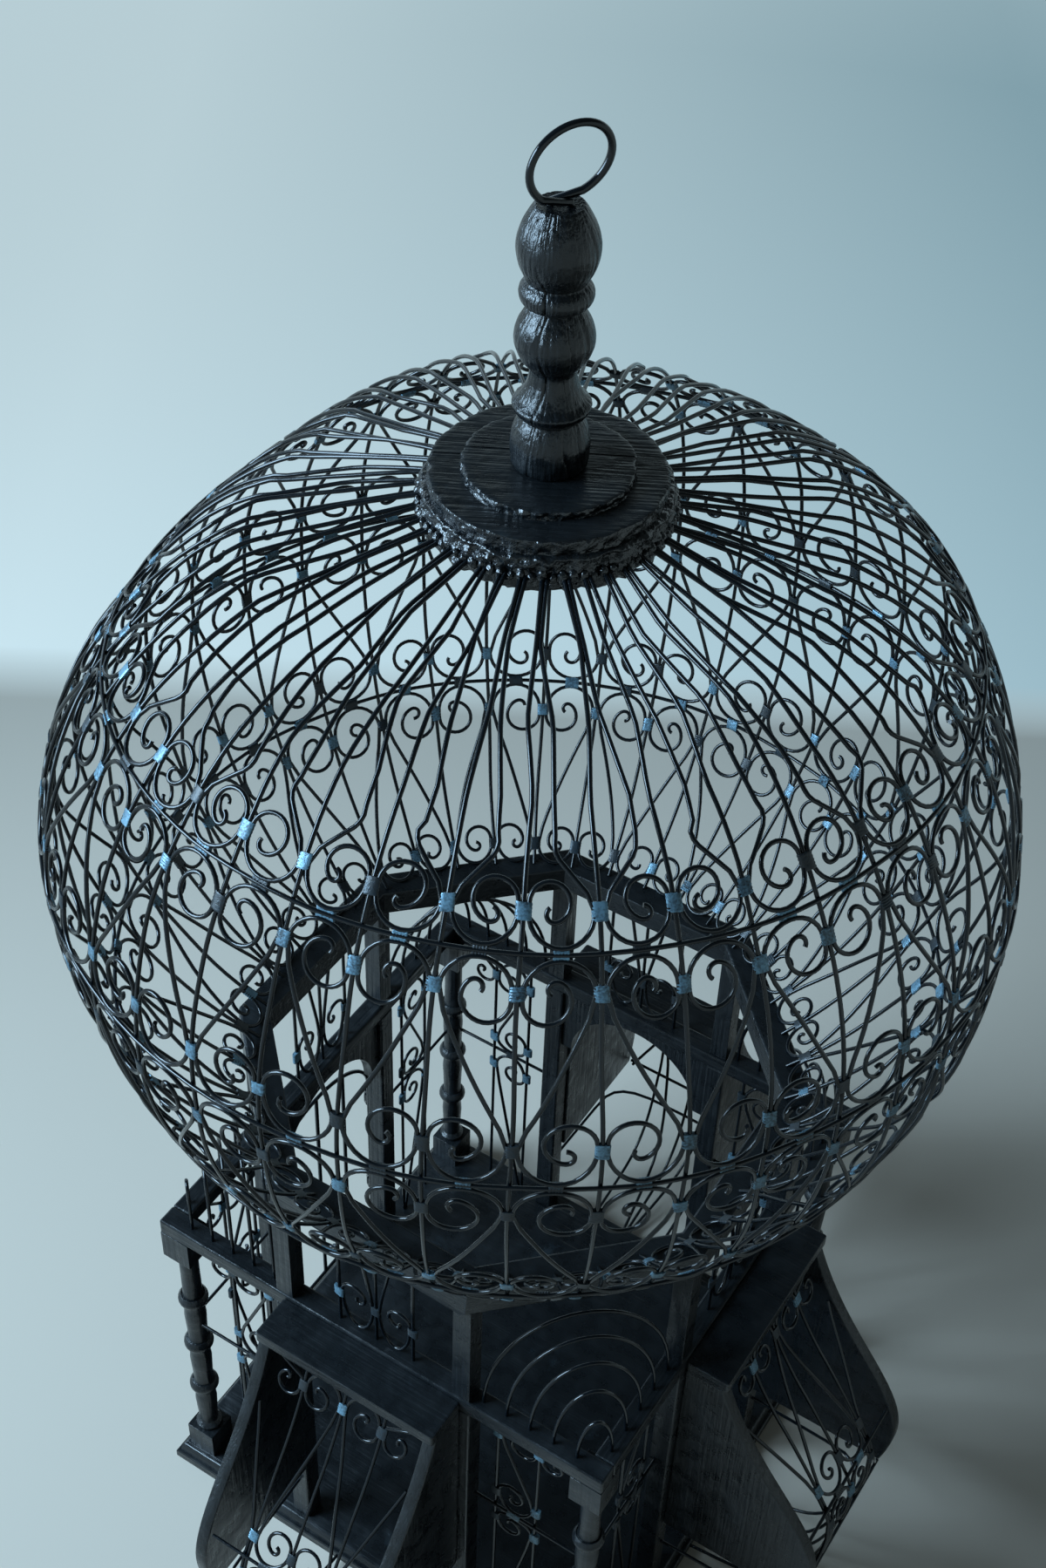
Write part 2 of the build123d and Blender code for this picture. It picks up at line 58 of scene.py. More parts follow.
# Lengths are in millimetres until a piece is made, and angles in degrees unless they say otherwise. Bare
# factors inside a noise call only set how far apart the places are at which the noise is read.
MM = 0.001
SEED = 41
UP = Vector((0.0, 0.0, 1.0))
HEADING = 31.15
WIRE_RADIUS = 0.77
# From a rib to the wire that is tied beside it, and from a clip's middle to where the wires part.
BESIDE = 1.5
GRIP = 3.0
# A radius that closes an outline on its axis.
ON_AXIS = 0.01
SHARP_EDGE = math.radians(38)
ROUNDED_EDGE = math.radians(28)
# Blender's Mix node has its two colours and their mixture at these sockets.
MIX_A, MIX_B, MIXED = 6, 7, 2
# A noise texture stays almost wholly between these values.
NOISE_LOW, NOISE_HIGH = 0.3, 0.7


class Body(Enum):
    """The bodies that pieces ride on."""

    CAGE = "cage"
    DOOR = "door"


class Slot(Enum):
    """The record's material slots."""

    WOOD = "black_painted_wood"
    WIRE = "black_painted_wire"
    LOOP = "dark_steel_wire"


class Grain(Enum):
    """The way the wood's grain runs, as the number of its axis."""

    ALONG_X = 0
    ALONG_Y = 1
    ALONG_Z = 2


class Side(Enum):
    """The four walls, by the turn from the front about the upright axis."""

    FRONT = 0
    RIGHT = 90
    BACK = 180
    LEFT = 270


BALCONY_SIDES = (Side.FRONT, Side.RIGHT, Side.BACK)


def level_axes(heading: float) -> tuple[Vector, Vector]:
    """Give the level directions to the right of, and away from, a camera that looks along a heading."""
    turn = math.radians(heading)
    return Vector((math.cos(turn), math.sin(turn), 0)), Vector((-math.sin(turn), math.cos(turn), 0))


# Finishes


def linear(hex_colour: str) -> tuple[float, float, float, float]:
    """Turn an sRGB hex colour into linear RGBA.

    Args:
        hex_colour: Six hex digits.
    Returns:
        Linear red, green and blue, and an alpha of one.
    """
    parts = [int(hex_colour[i:i + 2], 16) / 255 for i in (0, 2, 4)]
    return tuple(c / 12.92 if c <= 0.04045 else ((c + 0.055) / 1.055) ** 2.4 for c in parts) + (1.0,)


def per_mm(size: float) -> float:
    """Give the texture scale, per metre, whose pattern repeats over a size."""
    return 1.0 / (size * MM)


def feed(node: Any, inputs: dict[Any, Any]) -> None:
    """Set inputs of a node.

    Args:
        node: The node.
        inputs: Input name or number, to a value or to the output socket that feeds it.
    """
    for key, value in inputs.items():
        if isinstance(value, bpy.types.NodeSocket):
            node.id_data.links.new(value, node.inputs[key])
        else:
            node.inputs[key].default_value = value


def add_node(tree: bpy.types.NodeTree, kind: str, inputs: dict[Any, Any] | None = None, out: int | str = 0,
             **settings: Any) -> bpy.types.NodeSocket:
    """Add one node, with its settings, its input values and its links.

    Args:
        tree: The node tree.
        kind: Blender's name for the node.
        inputs: Input name or number, to a value or to the output socket that feeds it.
        out: Name or number of the output that is wanted.
        settings: The node's own properties.
    Returns:
        That output's socket.
    """
    node = tree.nodes.new(kind)
    for name, value in settings.items():
        setattr(node, name, value)
    feed(node, inputs or {})
    return node.outputs[out]


def new_material(name: str) -> tuple[bpy.types.Material, Callable[..., Any], Any]:
    """Start a material with one principled shader.

    Args:
        name: The material's name.
    Returns:
        The material, a function that adds a node to it, and its shader node.
    """
    material = bpy.data.materials.new(name)
    material.use_nodes = True
    tree = material.node_tree
    return material, functools.partial(add_node, tree), tree.nodes["Principled BSDF"]


def seen_rays(add: Callable[..., Any]) -> bpy.types.NodeSocket:
    """Tell rays that show a background from rays that carry light.

    Args:
        add: A function that adds a node.
    Returns:
        A socket that is one for camera, glossy and transmission rays, and zero for others.
    """
    seen = add("ShaderNodeLightPath", out="Is Camera Ray")
    rays = seen.node.outputs
    for ray in ("Is Glossy Ray", "Is Transmission Ray"):
        seen = add("ShaderNodeMath", {0: seen, 1: rays[ray]}, operation="MAXIMUM")
    return seen


@dataclass(frozen=True)
class PaintedWood:
    """Softwood under two brushed coats of black gloss paint."""

    # To the eye: near black and glossy, with the grain and brush lines standing up under the paint, and grey
    # where it is rubbed. The real grain is finer than this one, which is as coarse as it needs to be to show.
    name: str
    grain: Grain
    turn: float = 0.0
    paint: str = "0c0e10"
    thin_paint: str = "191d20"
    rubbed: str = "3a464d"
    rub_band: Pair = (0.63, 0.78)
    rub_most: float = 0.35
    grain_mm: float = 1.5
    grain_run: float = 22.0
    streak_mm: float = 9.0
    patch_mm: float = 28.0
    bump_mm: float = 0.5
    roughness: Pair = (0.2, 0.42)
    ior: float = 1.43

    def build(self) -> bpy.types.Material:
        """Make the material, with its pattern stretched along the grain.

        Returns:
            The material.
        """
        material, add, shader = new_material(self.name)
        stretch = [per_mm(self.grain_mm)] * 3
        stretch[self.grain.value] = per_mm(self.grain_mm * self.grain_run)
        place = add("ShaderNodeTexCoord", out="Object")
        place = add("ShaderNodeMapping", {"Vector": place, "Rotation": (0.0, 0.0, -math.radians(self.turn))})
        lines = add("ShaderNodeVectorMath", {0: place, 1: stretch}, operation="MULTIPLY")
        grain = add("ShaderNodeTexNoise", {"Vector": lines, "Scale": 1.0, "Detail": 3.0})
        streaks = add("ShaderNodeTexNoise", {"Vector": place, "Scale": per_mm(self.streak_mm), "Detail": 4.0})
        patches = add("ShaderNodeTexNoise", {"Vector": place, "Scale": per_mm(self.patch_mm), "Detail": 6.0,
                                             "Roughness": 0.65})
        coat = add("ShaderNodeMix", {0: streaks, MIX_A: linear(self.paint), MIX_B: linear(self.thin_paint)},
                   MIXED, data_type="RGBA")
        worn = add("ShaderNodeMapRange", {0: patches, 1: self.rub_band[0], 2: self.rub_band[1],
                                          4: self.rub_most})
        colour = add("ShaderNodeMix", {0: worn, MIX_A: coat, MIX_B: linear(self.rubbed)}, MIXED,
                     data_type="RGBA")
        gloss = add("ShaderNodeMapRange", {0: streaks, 1: NOISE_LOW, 2: NOISE_HIGH, 3: self.roughness[0],
                                           4: self.roughness[1]})
        relief = add("ShaderNodeBump", {"Strength": 0.7, "Distance": self.bump_mm * MM, "Height": grain})
        lumps = add("ShaderNodeBump", {"Strength": 0.5, "Distance": self.bump_mm * 2 * MM, "Height": streaks,
                                       "Normal": relief})
        feed(shader, {"Base Color": colour, "Roughness": gloss, "Normal": lumps, "IOR": self.ior})
        return material


@dataclass(frozen=True)
class EnamelledWire:
    """Drawn steel wire dipped in black enamel."""

    # To the eye: a black skin with thin bright lights along it, broken by small runs and by duller stretches.
    name: str
    enamel: str = "05080b"
    dulled: str = "0d1318"
    run_mm: float = 3.0
    patch_mm: float = 16.0
    bump_mm: float = 0.15
    roughness: Pair = (0.08, 0.22)
    ior: float = 1.42

    def build(self) -> bpy.types.Material:
        """Make the material.

        Returns:
            The material.
        """
        material, add, shader = new_material(self.name)
        place = add("ShaderNodeTexCoord", out="Object")
        runs = add("ShaderNodeTexNoise", {"Vector": place, "Scale": per_mm(self.run_mm), "Detail": 3.0})
        patches = add("ShaderNodeTexNoise", {"Vector": place, "Scale": per_mm(self.patch_mm), "Detail": 4.0})
        colour = add("ShaderNodeMix", {0: patches, MIX_A: linear(self.enamel), MIX_B: linear(self.dulled)},
                     MIXED, data_type="RGBA")
        gloss = add("ShaderNodeMapRange", {0: patches, 1: NOISE_LOW, 2: NOISE_HIGH, 3: self.roughness[0],
                                           4: self.roughness[1]})
        relief = add("ShaderNodeBump", {"Strength": 0.5, "Distance": self.bump_mm * MM, "Height": runs})
        feed(shader, {"Base Color": colour, "Roughness": gloss, "Normal": relief, "IOR": self.ior})
        return material


@dataclass(frozen=True)
class TinStrip:
    """Thin tinplate strip, painted by brush and rubbed."""

    # To the eye: pale metal where the paint is rubbed away, in patches and brush lines, and near black
    # elsewhere. Real brush lines are finer than these, which are as coarse as they need to be to show.
    name: str
    bare: str
    paint: str = "12181c"
    cover: float = 0.45
    fade: Pair = (0.1, 0.14)
    line_mm: float = 0.8
    patch_mm: float = 11.0
    bump_mm: float = 0.2
    metal_most: float = 0.5
    roughness: float = 0.42

    def build(self) -> bpy.types.Material:
        """Make the material.

        Returns:
            The material.
        """
        material, add, shader = new_material(self.name)
        place = add("ShaderNodeTexCoord", out="Object")
        lines = add("ShaderNodeTexNoise", {"Vector": place, "Scale": per_mm(self.line_mm), "Detail": 2.0})
        patches = add("ShaderNodeTexNoise", {"Vector": place, "Scale": per_mm(self.patch_mm), "Detail": 4.0})
        both = add("ShaderNodeMix", {0: 0.5, 2: patches, 3: lines}, data_type="FLOAT")
        start, end = self.cover - self.fade[0], self.cover + self.fade[1]
        rub, shine = (add("ShaderNodeMapRange", {0: both, 1: start, 2: end, 4: most})
                      for most in (1.0, self.metal_most))
        colour = add("ShaderNodeMix", {0: rub, MIX_A: linear(self.paint), MIX_B: linear(self.bare)}, MIXED,
                     data_type="RGBA")
        relief = add("ShaderNodeBump", {"Strength": 0.6, "Distance": self.bump_mm * MM, "Height": lines})
        feed(shader, {"Base Color": colour, "Metallic": shine, "Normal": relief, "Roughness": self.roughness})
        return material


@dataclass(frozen=True)
class StudioFloor:
    """Matt painted board."""

    # To the eye: pale warm grey round the cage, and a paler blue far off or past a soft line. Past the line,
    # painted shade darkens the blue towards the camera's right; far off the blue is even. The blue is shown
    # to camera, glossy and transmission rays alone, so that it lights nothing.
    name: str
    near: str = "c4b9ab"
    far: str = "979893"
    far_left: str = "b0c5cc"
    # The blue at the right, darkened as painted shade.
    far_painted_shade: str = "74929d"
    line_mm: float = 520.0
    soft_mm: float = 26.0
    # Distances to the camera's right over which the painted shade darkens the blue.
    painted_shade_sweep_mm: Pair = (-350.0, 450.0)
    pale_mm: Pair = (650.0, 1250.0)
    even_mm: Pair = (1500.0, 2600.0)
    roughness: float = 0.8
    specular: float = 0.15

    def build(self) -> bpy.types.Material:
        """Make the material; the floor's own object coordinates are the cage's, in metres.

        Returns:
            The material.
        """
        material, add, shader = new_material(self.name)
        place = add("ShaderNodeTexCoord", out="Object")
        aside, depth = (add("ShaderNodeVectorMath", {0: place, 1: way}, "Value", operation="DOT_PRODUCT")
                        for way in level_axes(HEADING))
        apart = add("ShaderNodeVectorMath", {0: place}, "Value", operation="LENGTH")
        line_band = (self.line_mm - self.soft_mm, self.line_mm + self.soft_mm)
        line, painted_shade_sweep, pale, even = (
            add("ShaderNodeMapRange", {0: distance, 1: start * MM, 2: end * MM})
            for distance, (start, end) in ((depth, line_band), (aside, self.painted_shade_sweep_mm), (apart, self.pale_mm),
                                           (apart, self.even_mm)))
        colour = add("ShaderNodeMix", {0: line, MIX_A: linear(self.near), MIX_B: linear(self.far)}, MIXED,
                     data_type="RGBA")
        # Painted shade: past the line, the blue darkens from left to right.
        shade = add("ShaderNodeMath", {0: painted_shade_sweep, 1: line}, operation="MULTIPLY")
        glow = add("ShaderNodeMix", {0: shade, MIX_A: linear(self.far_left), MIX_B: linear(self.far_painted_shade)},
                   MIXED, data_type="RGBA")
        glow = add("ShaderNodeMix", {0: even, MIX_A: glow, MIX_B: linear(self.far_left)}, MIXED,
                   data_type="RGBA")
        distant = add("ShaderNodeMath", {0: line, 1: pale}, operation="MAXIMUM")
        strength = add("ShaderNodeMath", {0: seen_rays(add), 1: distant}, operation="MULTIPLY")
        feed(shader, {"Base Color": colour, "Emission Color": glow, "Emission Strength": strength,
                      "Roughness": self.roughness, "Specular IOR Level": self.specular})
        return material


class Finish(Enum):
    """The finishes of the cage and of the floor."""

    UPRIGHT = PaintedWood("black_gloss_on_softwood_upright", Grain.ALONG_Z)
    CROSSWISE = PaintedWood("black_gloss_on_softwood_crosswise", Grain.ALONG_X)
    LENGTHWISE = PaintedWood("black_gloss_on_softwood_lengthwise", Grain.ALONG_Y)
    # Thick paint over putty: a lumpy skin with wet-looking lights.
    SKIRT = PaintedWood("thick_black_gloss_on_putty", Grain.ALONG_Z, grain_mm=3.0, streak_mm=4.0, bump_mm=1.5,
                        roughness=(0.07, 0.18), ior=1.55)
    # Turned wood: fine raised lines that run up the shape, and a shine that follows its beads.
    TURNED = PaintedWood("black_gloss_on_turned_wood", Grain.ALONG_Z, grain_mm=1.1, streak_mm=6.0,
                         bump_mm=0.7, roughness=(0.12, 0.34))
    # Planks laid flat: coarser lines that run with the crack between them.
    PLANKS = PaintedWood("black_gloss_on_planks", Grain.ALONG_X, turn=29.0, bump_mm=0.9)
    WIRE = EnamelledWire("black_enamelled_steel_wire")
    # Rubbed strip: dull blue metal with dark brush lines. Painted strip: near black with a few grey rubs.
    BLUE_TIN = TinStrip("rubbed_blue_tinplate", "6a8da0")
    BLACK_TIN = TinStrip("black_painted_tinplate", "2c3a43", cover=0.55)
    FLOOR = StudioFloor("matt_pale_floor")

    @functools.cached_property
    def material(self) -> bpy.types.Material:
        """Make the material on first use, and keep it."""
        return self.value.build()


# Making and placing pieces


def put(name: str, data: Any) -> bpy.types.Object:
    """Make an object of its data, and put it in the scene.

    Args:
        name: The object's name.
        data: Its curve, mesh, lamp or camera.
    Returns:
        The object.
    """
    item = bpy.data.objects.new(name, data)
    bpy.context.scene.collection.objects.link(item)
    return item


def settle(piece: bpy.types.Object, nodes: Sequence[str] = (), body: Body = Body.CAGE) -> None:
    """Make a piece ride on its body and the solids that it stands for, and report it.

    Args:
        piece: The new object.
        nodes: The solids that it replaces.
        body: The body that carries it.
    """
    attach(piece, body.value)
    if nodes:
        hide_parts(*nodes)
    LOG.info("%s on %s, for %s", piece.name, body.value, ", ".join(nodes) or "no solid")


def wire_piece(name: str, routes: Iterable[Route], node: str, radius: float = WIRE_RADIUS,
               closed: bool = False, body: Body = Body.CAGE) -> None:
    """Make and settle one piece of round enamelled wires.

    Args:
        name: The piece's name.
        routes: Each wire's points.
        node: The solid that it replaces.
        radius: The wire's radius.
        closed: Whether each wire joins its own start.
        body: The body that carries it.
    """
    curve = bpy.data.curves.new(name, "CURVE")
    curve.dimensions = "3D"
    curve.bevel_depth = radius * MM
    curve.bevel_resolution = 2
    curve.use_fill_caps = True
    for route in routes:
        spline = curve.splines.new("POLY")
        spline.points.add(len(route) - 1)
        spline.points.foreach_set("co", [c for p in route for c in (p.x * MM, p.y * MM, p.z * MM, 1.0)])
        spline.use_cyclic_u = closed
        spline.use_smooth = True
    curve.materials.append(Finish.WIRE.material)
    settle(put(name, curve), [node], body)


def soften(mesh: bpy.types.Mesh) -> None:
    """Shade a mesh smooth where its faces meet at a low angle."""
    mesh.shade_smooth()
    mesh.set_sharp_from_angle(angle=SHARP_EDGE)


def mesh_piece(name: str, shape: Mesh, finish: Finish, smooth: bool = True,
               bevel: float = 0.0) -> bpy.types.Object:
    """Make one mesh object.

    Args:
        name: The piece's name.
        shape: Its corner points and faces.
        finish: Its finish.
        smooth: Whether faces are shaded smooth where they meet at a low angle.
        bevel: Width of the rounding on sharp edges, or zero.
    Returns:
        The object.
    """
    verts, faces = shape
    mesh = bpy.data.meshes.new(name)
    mesh.from_pydata([v * MM for v in verts], [], faces)
    work = bmesh.new()
    work.from_mesh(mesh)
    bmesh.ops.recalc_face_normals(work, faces=work.faces)
    work.to_mesh(mesh)
    work.free()
    mesh.materials.append(finish.material)
    piece = put(name, mesh)
    if bevel:
        round_edges(piece, bevel)
    if smooth:
        soften(mesh)
    return piece


def round_edges(piece: bpy.types.Object, width: float) -> None:
    """Round the sharp edges of a squared piece.

    Args:
        piece: The piece.
        width: Width of the rounding.
    """
    weld = piece.modifiers.new("weld", "WELD")
    weld.merge_threshold = 1e-5
    bevel = piece.modifiers.new("edge", "BEVEL")
    bevel.width = width * MM
    bevel.segments = 2
    bevel.limit_method = "ANGLE"
    bevel.angle_limit = ROUNDED_EDGE
    bevel.harden_normals = False


def dress_solid(node: str, finish: Finish, edge: float) -> None:
    """Give a solid that is shown as it is its finish and its rounded edges.

    Args:
        node: The solid's name.
        finish: Its finish.
        edge: Width of the rounding.
    """
    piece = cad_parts[node]
    piece.data.materials.clear()
    piece.data.materials.append(finish.material)
    round_edges(piece, edge)
    LOG.info("%s keeps its solid", node)


def tube_faces(rows: int, around: int) -> list[list[int]]:
    """Give the faces of a tube that is closed at both ends.

    Args:
        rows: Number of rows of points along it.
        around: Number of points in each row.
    Returns:
        The corner numbers of each face.
    """
    faces = []
    for low in range(0, (rows - 1) * around, around):
        for k in range(around):
            n = (k + 1) % around
            faces.append([low + k, low + n, low + around + n, low + around + k])
    last = (rows - 1) * around
    return faces + [list(range(around))[::-1], list(range(last, last + around))]


def polar(reach: float, angle: float, height: float) -> Vector:
    """Give the point at a distance from the upright axis, an angle in radians about it, and a height."""
    return Vector((reach * math.cos(angle), reach * math.sin(angle), height))


def lathe(outline: Sequence[Pair], segments: int, centre: Vector,
          uneven: Callable[[float, float], float] | None = None) -> Mesh:
    """Turn an outline about an upright axis.

    Args:
        outline: (height, radius) pairs from the bottom up.
        segments: Number of flats round the axis.
        centre: The axis's foot.
        uneven: A function of the angle, in radians, and the height that gives an added radius, or None.
    Returns:
        Corner points and faces, closed at both ends.
    """
    verts = []
    for height, radius in outline:
        for k in range(segments):
            angle = math.tau * k / segments
            reach = radius + (uneven(angle, height) if uneven else 0.0)
            verts.append(centre + polar(reach, angle, height))
    return verts, tube_faces(len(outline), segments)


def squared(low: Sequence[float], high: Sequence[float]) -> Mesh:
    """Give a squared block between its lowest and highest corners."""
    ring = ((low[0], low[1]), (high[0], low[1]), (high[0], high[1]), (low[0], high[1]))
    return [Vector((x, y, z)) for z in (low[2], high[2]) for x, y in ring], tube_faces(2, len(ring))


def merged(parts: Iterable[Mesh]) -> Mesh:
    """Put several sets of points and faces together as one.

    Args:
        parts: The sets.
    Returns:
        All points and faces.
    """
    verts: list[Vector] = []
    faces: list[list[int]] = []
    for points, sides in parts:
        start = len(verts)
        verts.extend(points)
        faces.extend([[start + i for i in side] for side in sides])
    return verts, faces


def turned_about(points: Iterable[Vector], degrees: float) -> Route:
    """Turn points about the upright axis."""
    spin = Matrix.Rotation(math.radians(degrees), 3, "Z")
    return [spin @ p for p in points]


def on_each_side(shape: Mesh) -> Mesh:
    """Repeat a shape on the four sides of the cage."""
    return merged((turned_about(shape[0], side.value), shape[1]) for side in Side)


def smooth_line(points: Sequence[Pair], steps: int) -> list[Pair]:
    """Draw a smooth line through points.

    Args:
        points: The points.
        steps: Number of steps between each two.
    Returns:
        The line's points.
    """
    padded = [points[0], *points, points[-1]]
    line = []
    for a, b, c, d in zip(padded, padded[1:], padded[2:], padded[3:]):
        for i in range(steps):
            t = i / steps
            line.append(tuple(0.5 * (2 * q + (r - p) * t + (2 * p - 5 * q + 4 * r - s) * t * t
                                     + (3 * q - p - 3 * r + s) * t ** 3) for p, q, r, s in zip(a, b, c, d)))
    line.append(tuple(points[-1]))
    return line


# Surfaces that wires lie on


class Sheet:
    """A line, out and up, that wires lie on; subclasses carry it round an axis or along a wall."""

    def __init__(self, stations: Sequence[Pair]) -> None:
        """Measure the line.

        Args:
            stations: (distance out, height) pairs from the top down.
        """
        self.stations = list(stations)
        self.marks = [0.0]
        for (r0, z0), (r1, z1) in zip(self.stations, self.stations[1:]):
            self.marks.append(self.marks[-1] + math.hypot(r1 - r0, z1 - z0))
        self.length = self.marks[-1]

    def at(self, mark: float) -> tuple[float, float, float, float]:
        """Find a place on the line.

        Args:
            mark: Distance down the line.
        Returns:
            The distance out, the height, and the outward normal's parts out and up.
        """
        i = min(max(bisect.bisect_right(self.marks, mark) - 1, 0), len(self.marks) - 2)
        (r0, z0), (r1, z1) = self.stations[i], self.stations[i + 1]
        span = self.marks[i + 1] - self.marks[i]
        t = (mark - self.marks[i]) / span
        return r0 + (r1 - r0) * t, z0 + (z1 - z0) * t, (z0 - z1) / span, (r1 - r0) / span

    def mark_of(self, height: float) -> float:
        """Find where the line passes a height.

        Args:
            height: The height.
        Returns:
            The distance down the line, or its length where it stays above the height.
        """
        for i, ((_, z0), (_, z1)) in enumerate(zip(self.stations, self.stations[1:])):
            if z0 >= height >= z1:
                return self.marks[i] + (z0 - height) / (z0 - z1) * (self.marks[i + 1] - self.marks[i])
        return self.length

    def place(self, rib: float, aside: float, mark: float, lift: float = 0.0) -> Vector:
        """Give the point beside a rib, at a distance down the sheet, lifted off it."""
        raise NotImplementedError

    def pitch(self, mark: float) -> float:
        """Give the distance between two ribs at a distance down the sheet."""
        raise NotImplementedError

    def axes(self, rib: float, mark: float) -> tuple[Vector, Vector, Vector]:
        """Find the sheet's own directions.

        Args:
            rib: The rib's number.
            mark: Distance down the sheet.
        Returns:
            The directions across, down and out of the sheet.
        """
        here = self.place(rib, 0, mark)
        across = (self.place(rib, 1, mark) - here).normalized()
        out = (self.place(rib, 0, mark, 1) - here).normalized()
        return across, across.cross(out) * -1, out

    def run(self, start: Sequence[float], end: Sequence[float], steps: int) -> Route:
        """Draw a straight run on the sheet, without its two ends.

        Args:
            start: Rib, distance aside and distance down where it starts.
            end: The same where it ends.
            steps: Number of steps along it.
        Returns:
            The points between the ends.
        """
        shares = [i / steps for i in range(1, steps)]
        return [self.place(*(a + (b - a) * t for a, b in zip(start, end))) for t in shares]

    def rib(self, number: float, steps: int) -> Route:
        """Give a plain rib from the sheet's top to its foot."""
        return [self.place(number, 0, self.length * i / steps) for i in range(steps + 1)]


@dataclass(frozen=True)
class Dent:
    """A soft dent, or a bulge where its depth is negative, in a hand-bent dome."""

    bearing: float
    height: float
    depth: float
    spread: float = 48.0
    tall: float = 42.0

    def push(self, angle: float, height: float) -> float:
        """Give how far the dome is pushed in at an angle, in radians, and a height."""
        away = (math.degrees(angle) - self.bearing + 180) % 360 - 180
        return self.depth * math.exp(-(away / self.spread) ** 2 - ((height - self.height) / self.tall) ** 2)


class RoundSheet(Sheet):
    """A sheet turned about the upright axis, with dents and the waver of wire bent by hand."""

    waver: float = 1.1
    waver_size: float = 46.0
    held_end: float = 50.0

    def __init__(self, stations: Sequence[Pair], turn: float, step: float,
                 dents: Sequence[Dent] = ()) -> None:
        """Set the sheet.

        Args:
            stations: (distance out, height) pairs from the top down.
            turn: Bearing of the first rib.
            step: Angle between ribs.
            dents: Dents in the sheet.
        """
        super().__init__(stations)
        self.turn = turn
        self.step = step
        self.dents = dents

    def place(self, rib: float, aside: float, mark: float, lift: float = 0.0) -> Vector:
        """Find a point on the sheet, true at its two ends and wavering between them.

        Args:
            rib: The rib's number.
            aside: Distance from the rib, across the sheet.
            mark: Distance down the sheet.
            lift: Distance off the sheet.
        Returns:
            The point.
        """
        out, height, normal_out, normal_up = self.at(mark)
        angle = math.radians(self.turn + rib * self.step) + aside / out
        outward = Vector((math.sin(angle), -math.cos(angle), 0))
        free = min(1.0, mark / self.held_end, max(0.0, self.length - mark) / self.held_end)
        lift -= free * sum(dent.push(angle, height) for dent in self.dents)
        out += lift * normal_out
        point = Vector((out * math.sin(angle), -out * math.cos(angle), height + lift * normal_up))
        sway = noise.noise_vector(point / self.waver_size) * self.waver * free
        return point + sway - outward * max(0.0, sway.dot(outward))

    def pitch(self, mark: float) -> float:
        """Give the distance between two ribs at a distance down the sheet."""
        return self.at(mark)[0] * math.radians(self.step)


class WallSheet(Sheet):
    """A sheet carried along a wall."""

    def __init__(self, stations: Sequence[Pair], start: float, step: float, side: Side) -> None:
        """Set the sheet.

        Args:
            stations: (distance out, height) pairs from the top down.
            start: Place of the first rib along the wall.
            step: Distance between ribs, negative where they go to the left.
            side: The wall.
        """
        super().__init__(stations)
        self.start = start
        self.step = step
        self.spin = Matrix.Rotation(math.radians(side.value), 3, "Z")

    def place(self, rib: float, aside: float, mark: float, lift: float = 0.0) -> Vector:
        """Find a point on the sheet.

        Args:
            rib: The rib's number.
            aside: Distance from the rib, the way that ribs go.
            mark: Distance down the sheet.
            lift: Distance off the sheet.
        Returns:
            The point.
        """
        out, height, normal_out, normal_up = self.at(mark)
        along = self.start + rib * self.step + aside * math.copysign(1, self.step)
        return self.spin @ Vector((along, -out - lift * normal_out, height + lift * normal_up))

    def pitch(self, mark: float) -> float:
        """Give the distance between two ribs."""
        return abs(self.step)


# Wires and clips on a sheet


@dataclass(frozen=True)
class Curl:
    """A wire's curled end: an even arc, then a bend to a tight hook, each a little unlike the last."""

    # Pairs hold what is usual and how far a curl may be from it; turns are in degrees.
    steps: int = 30
    rise: float = 2.4
    size: Pair = (1.0, 0.14)
    turning: Pair = (415.0, 90.0)
    tighten: Pair = (212.0, 50.0)
    hook: Pair = (0.33, 0.16)
    hook_bend: float = 66.0

    def route(self, sheet: Sheet, rib: float, hand: int, row: float, up: int, radius: float) -> Route:
        """Give a curl that leaves a rib's clip and winds away from the rib.

        Args:
            sheet: The sheet that the wire lies on.
            rib: The rib's number.
            hand: The side of the rib, 1 or -1.
            row: The clip's distance down the sheet.
            up: 1 where the curl stands above the clip, -1 where it hangs under it.
            radius: The curl's usual outer radius.
        Returns:
            The curl's points, from the clip to its inner end.
        """
        traits = (self.size, self.turning, self.tighten, self.hook)
        size, turning, tighten, hook = (
            usual + spread * noise.noise(Vector((rib * 7.31, row * 0.37 + k * 4.3, hand * 5.17 + up)))
            for k, (usual, spread) in enumerate(traits))
        aside, along = BESIDE, self.rise
        points = [sheet.place(rib, hand * aside, row - up * along)]
        for i in range(self.steps):
            turned = turning * (i + 0.5) / self.steps
            share = min(1.0, max(0.0, (turned - tighten) / self.hook_bend))
            tight = 1 + (hook - 1) * share * share * (3 - 2 * share)
            stride = radius * size * tight * math.radians(turning) / self.steps
            aside += stride * math.sin(math.radians(turned))
            along += stride * math.cos(math.radians(turned))
            points.append(sheet.place(rib, hand * aside, row - up * along))
        return points


CURL = Curl()
# A curl's radius as a share of the distance between ribs, and a bow's clearance to the ring wire.
CURL_SHARE = 0.29
BOW_CLEAR = 0.25
BOW_STEPS = 14
CROSS_STEPS = 10


class Band(NamedTuple):
    """A band of scrolls, as distances down a sheet: a row of clips, the ring wire, and a second row."""

    over: float
    ring: float
    under: float

    @classmethod
    def about(cls, ring: float, span: float) -> "Band":
        """Give the band whose rows stand a span over and under its ring wire."""
        return cls(ring - span, ring, ring + span)


def toward(tied: float, free: float) -> int:
    """Give the hand, 1 or -1, from one rib to another."""
    return 1 if free > tied else -1


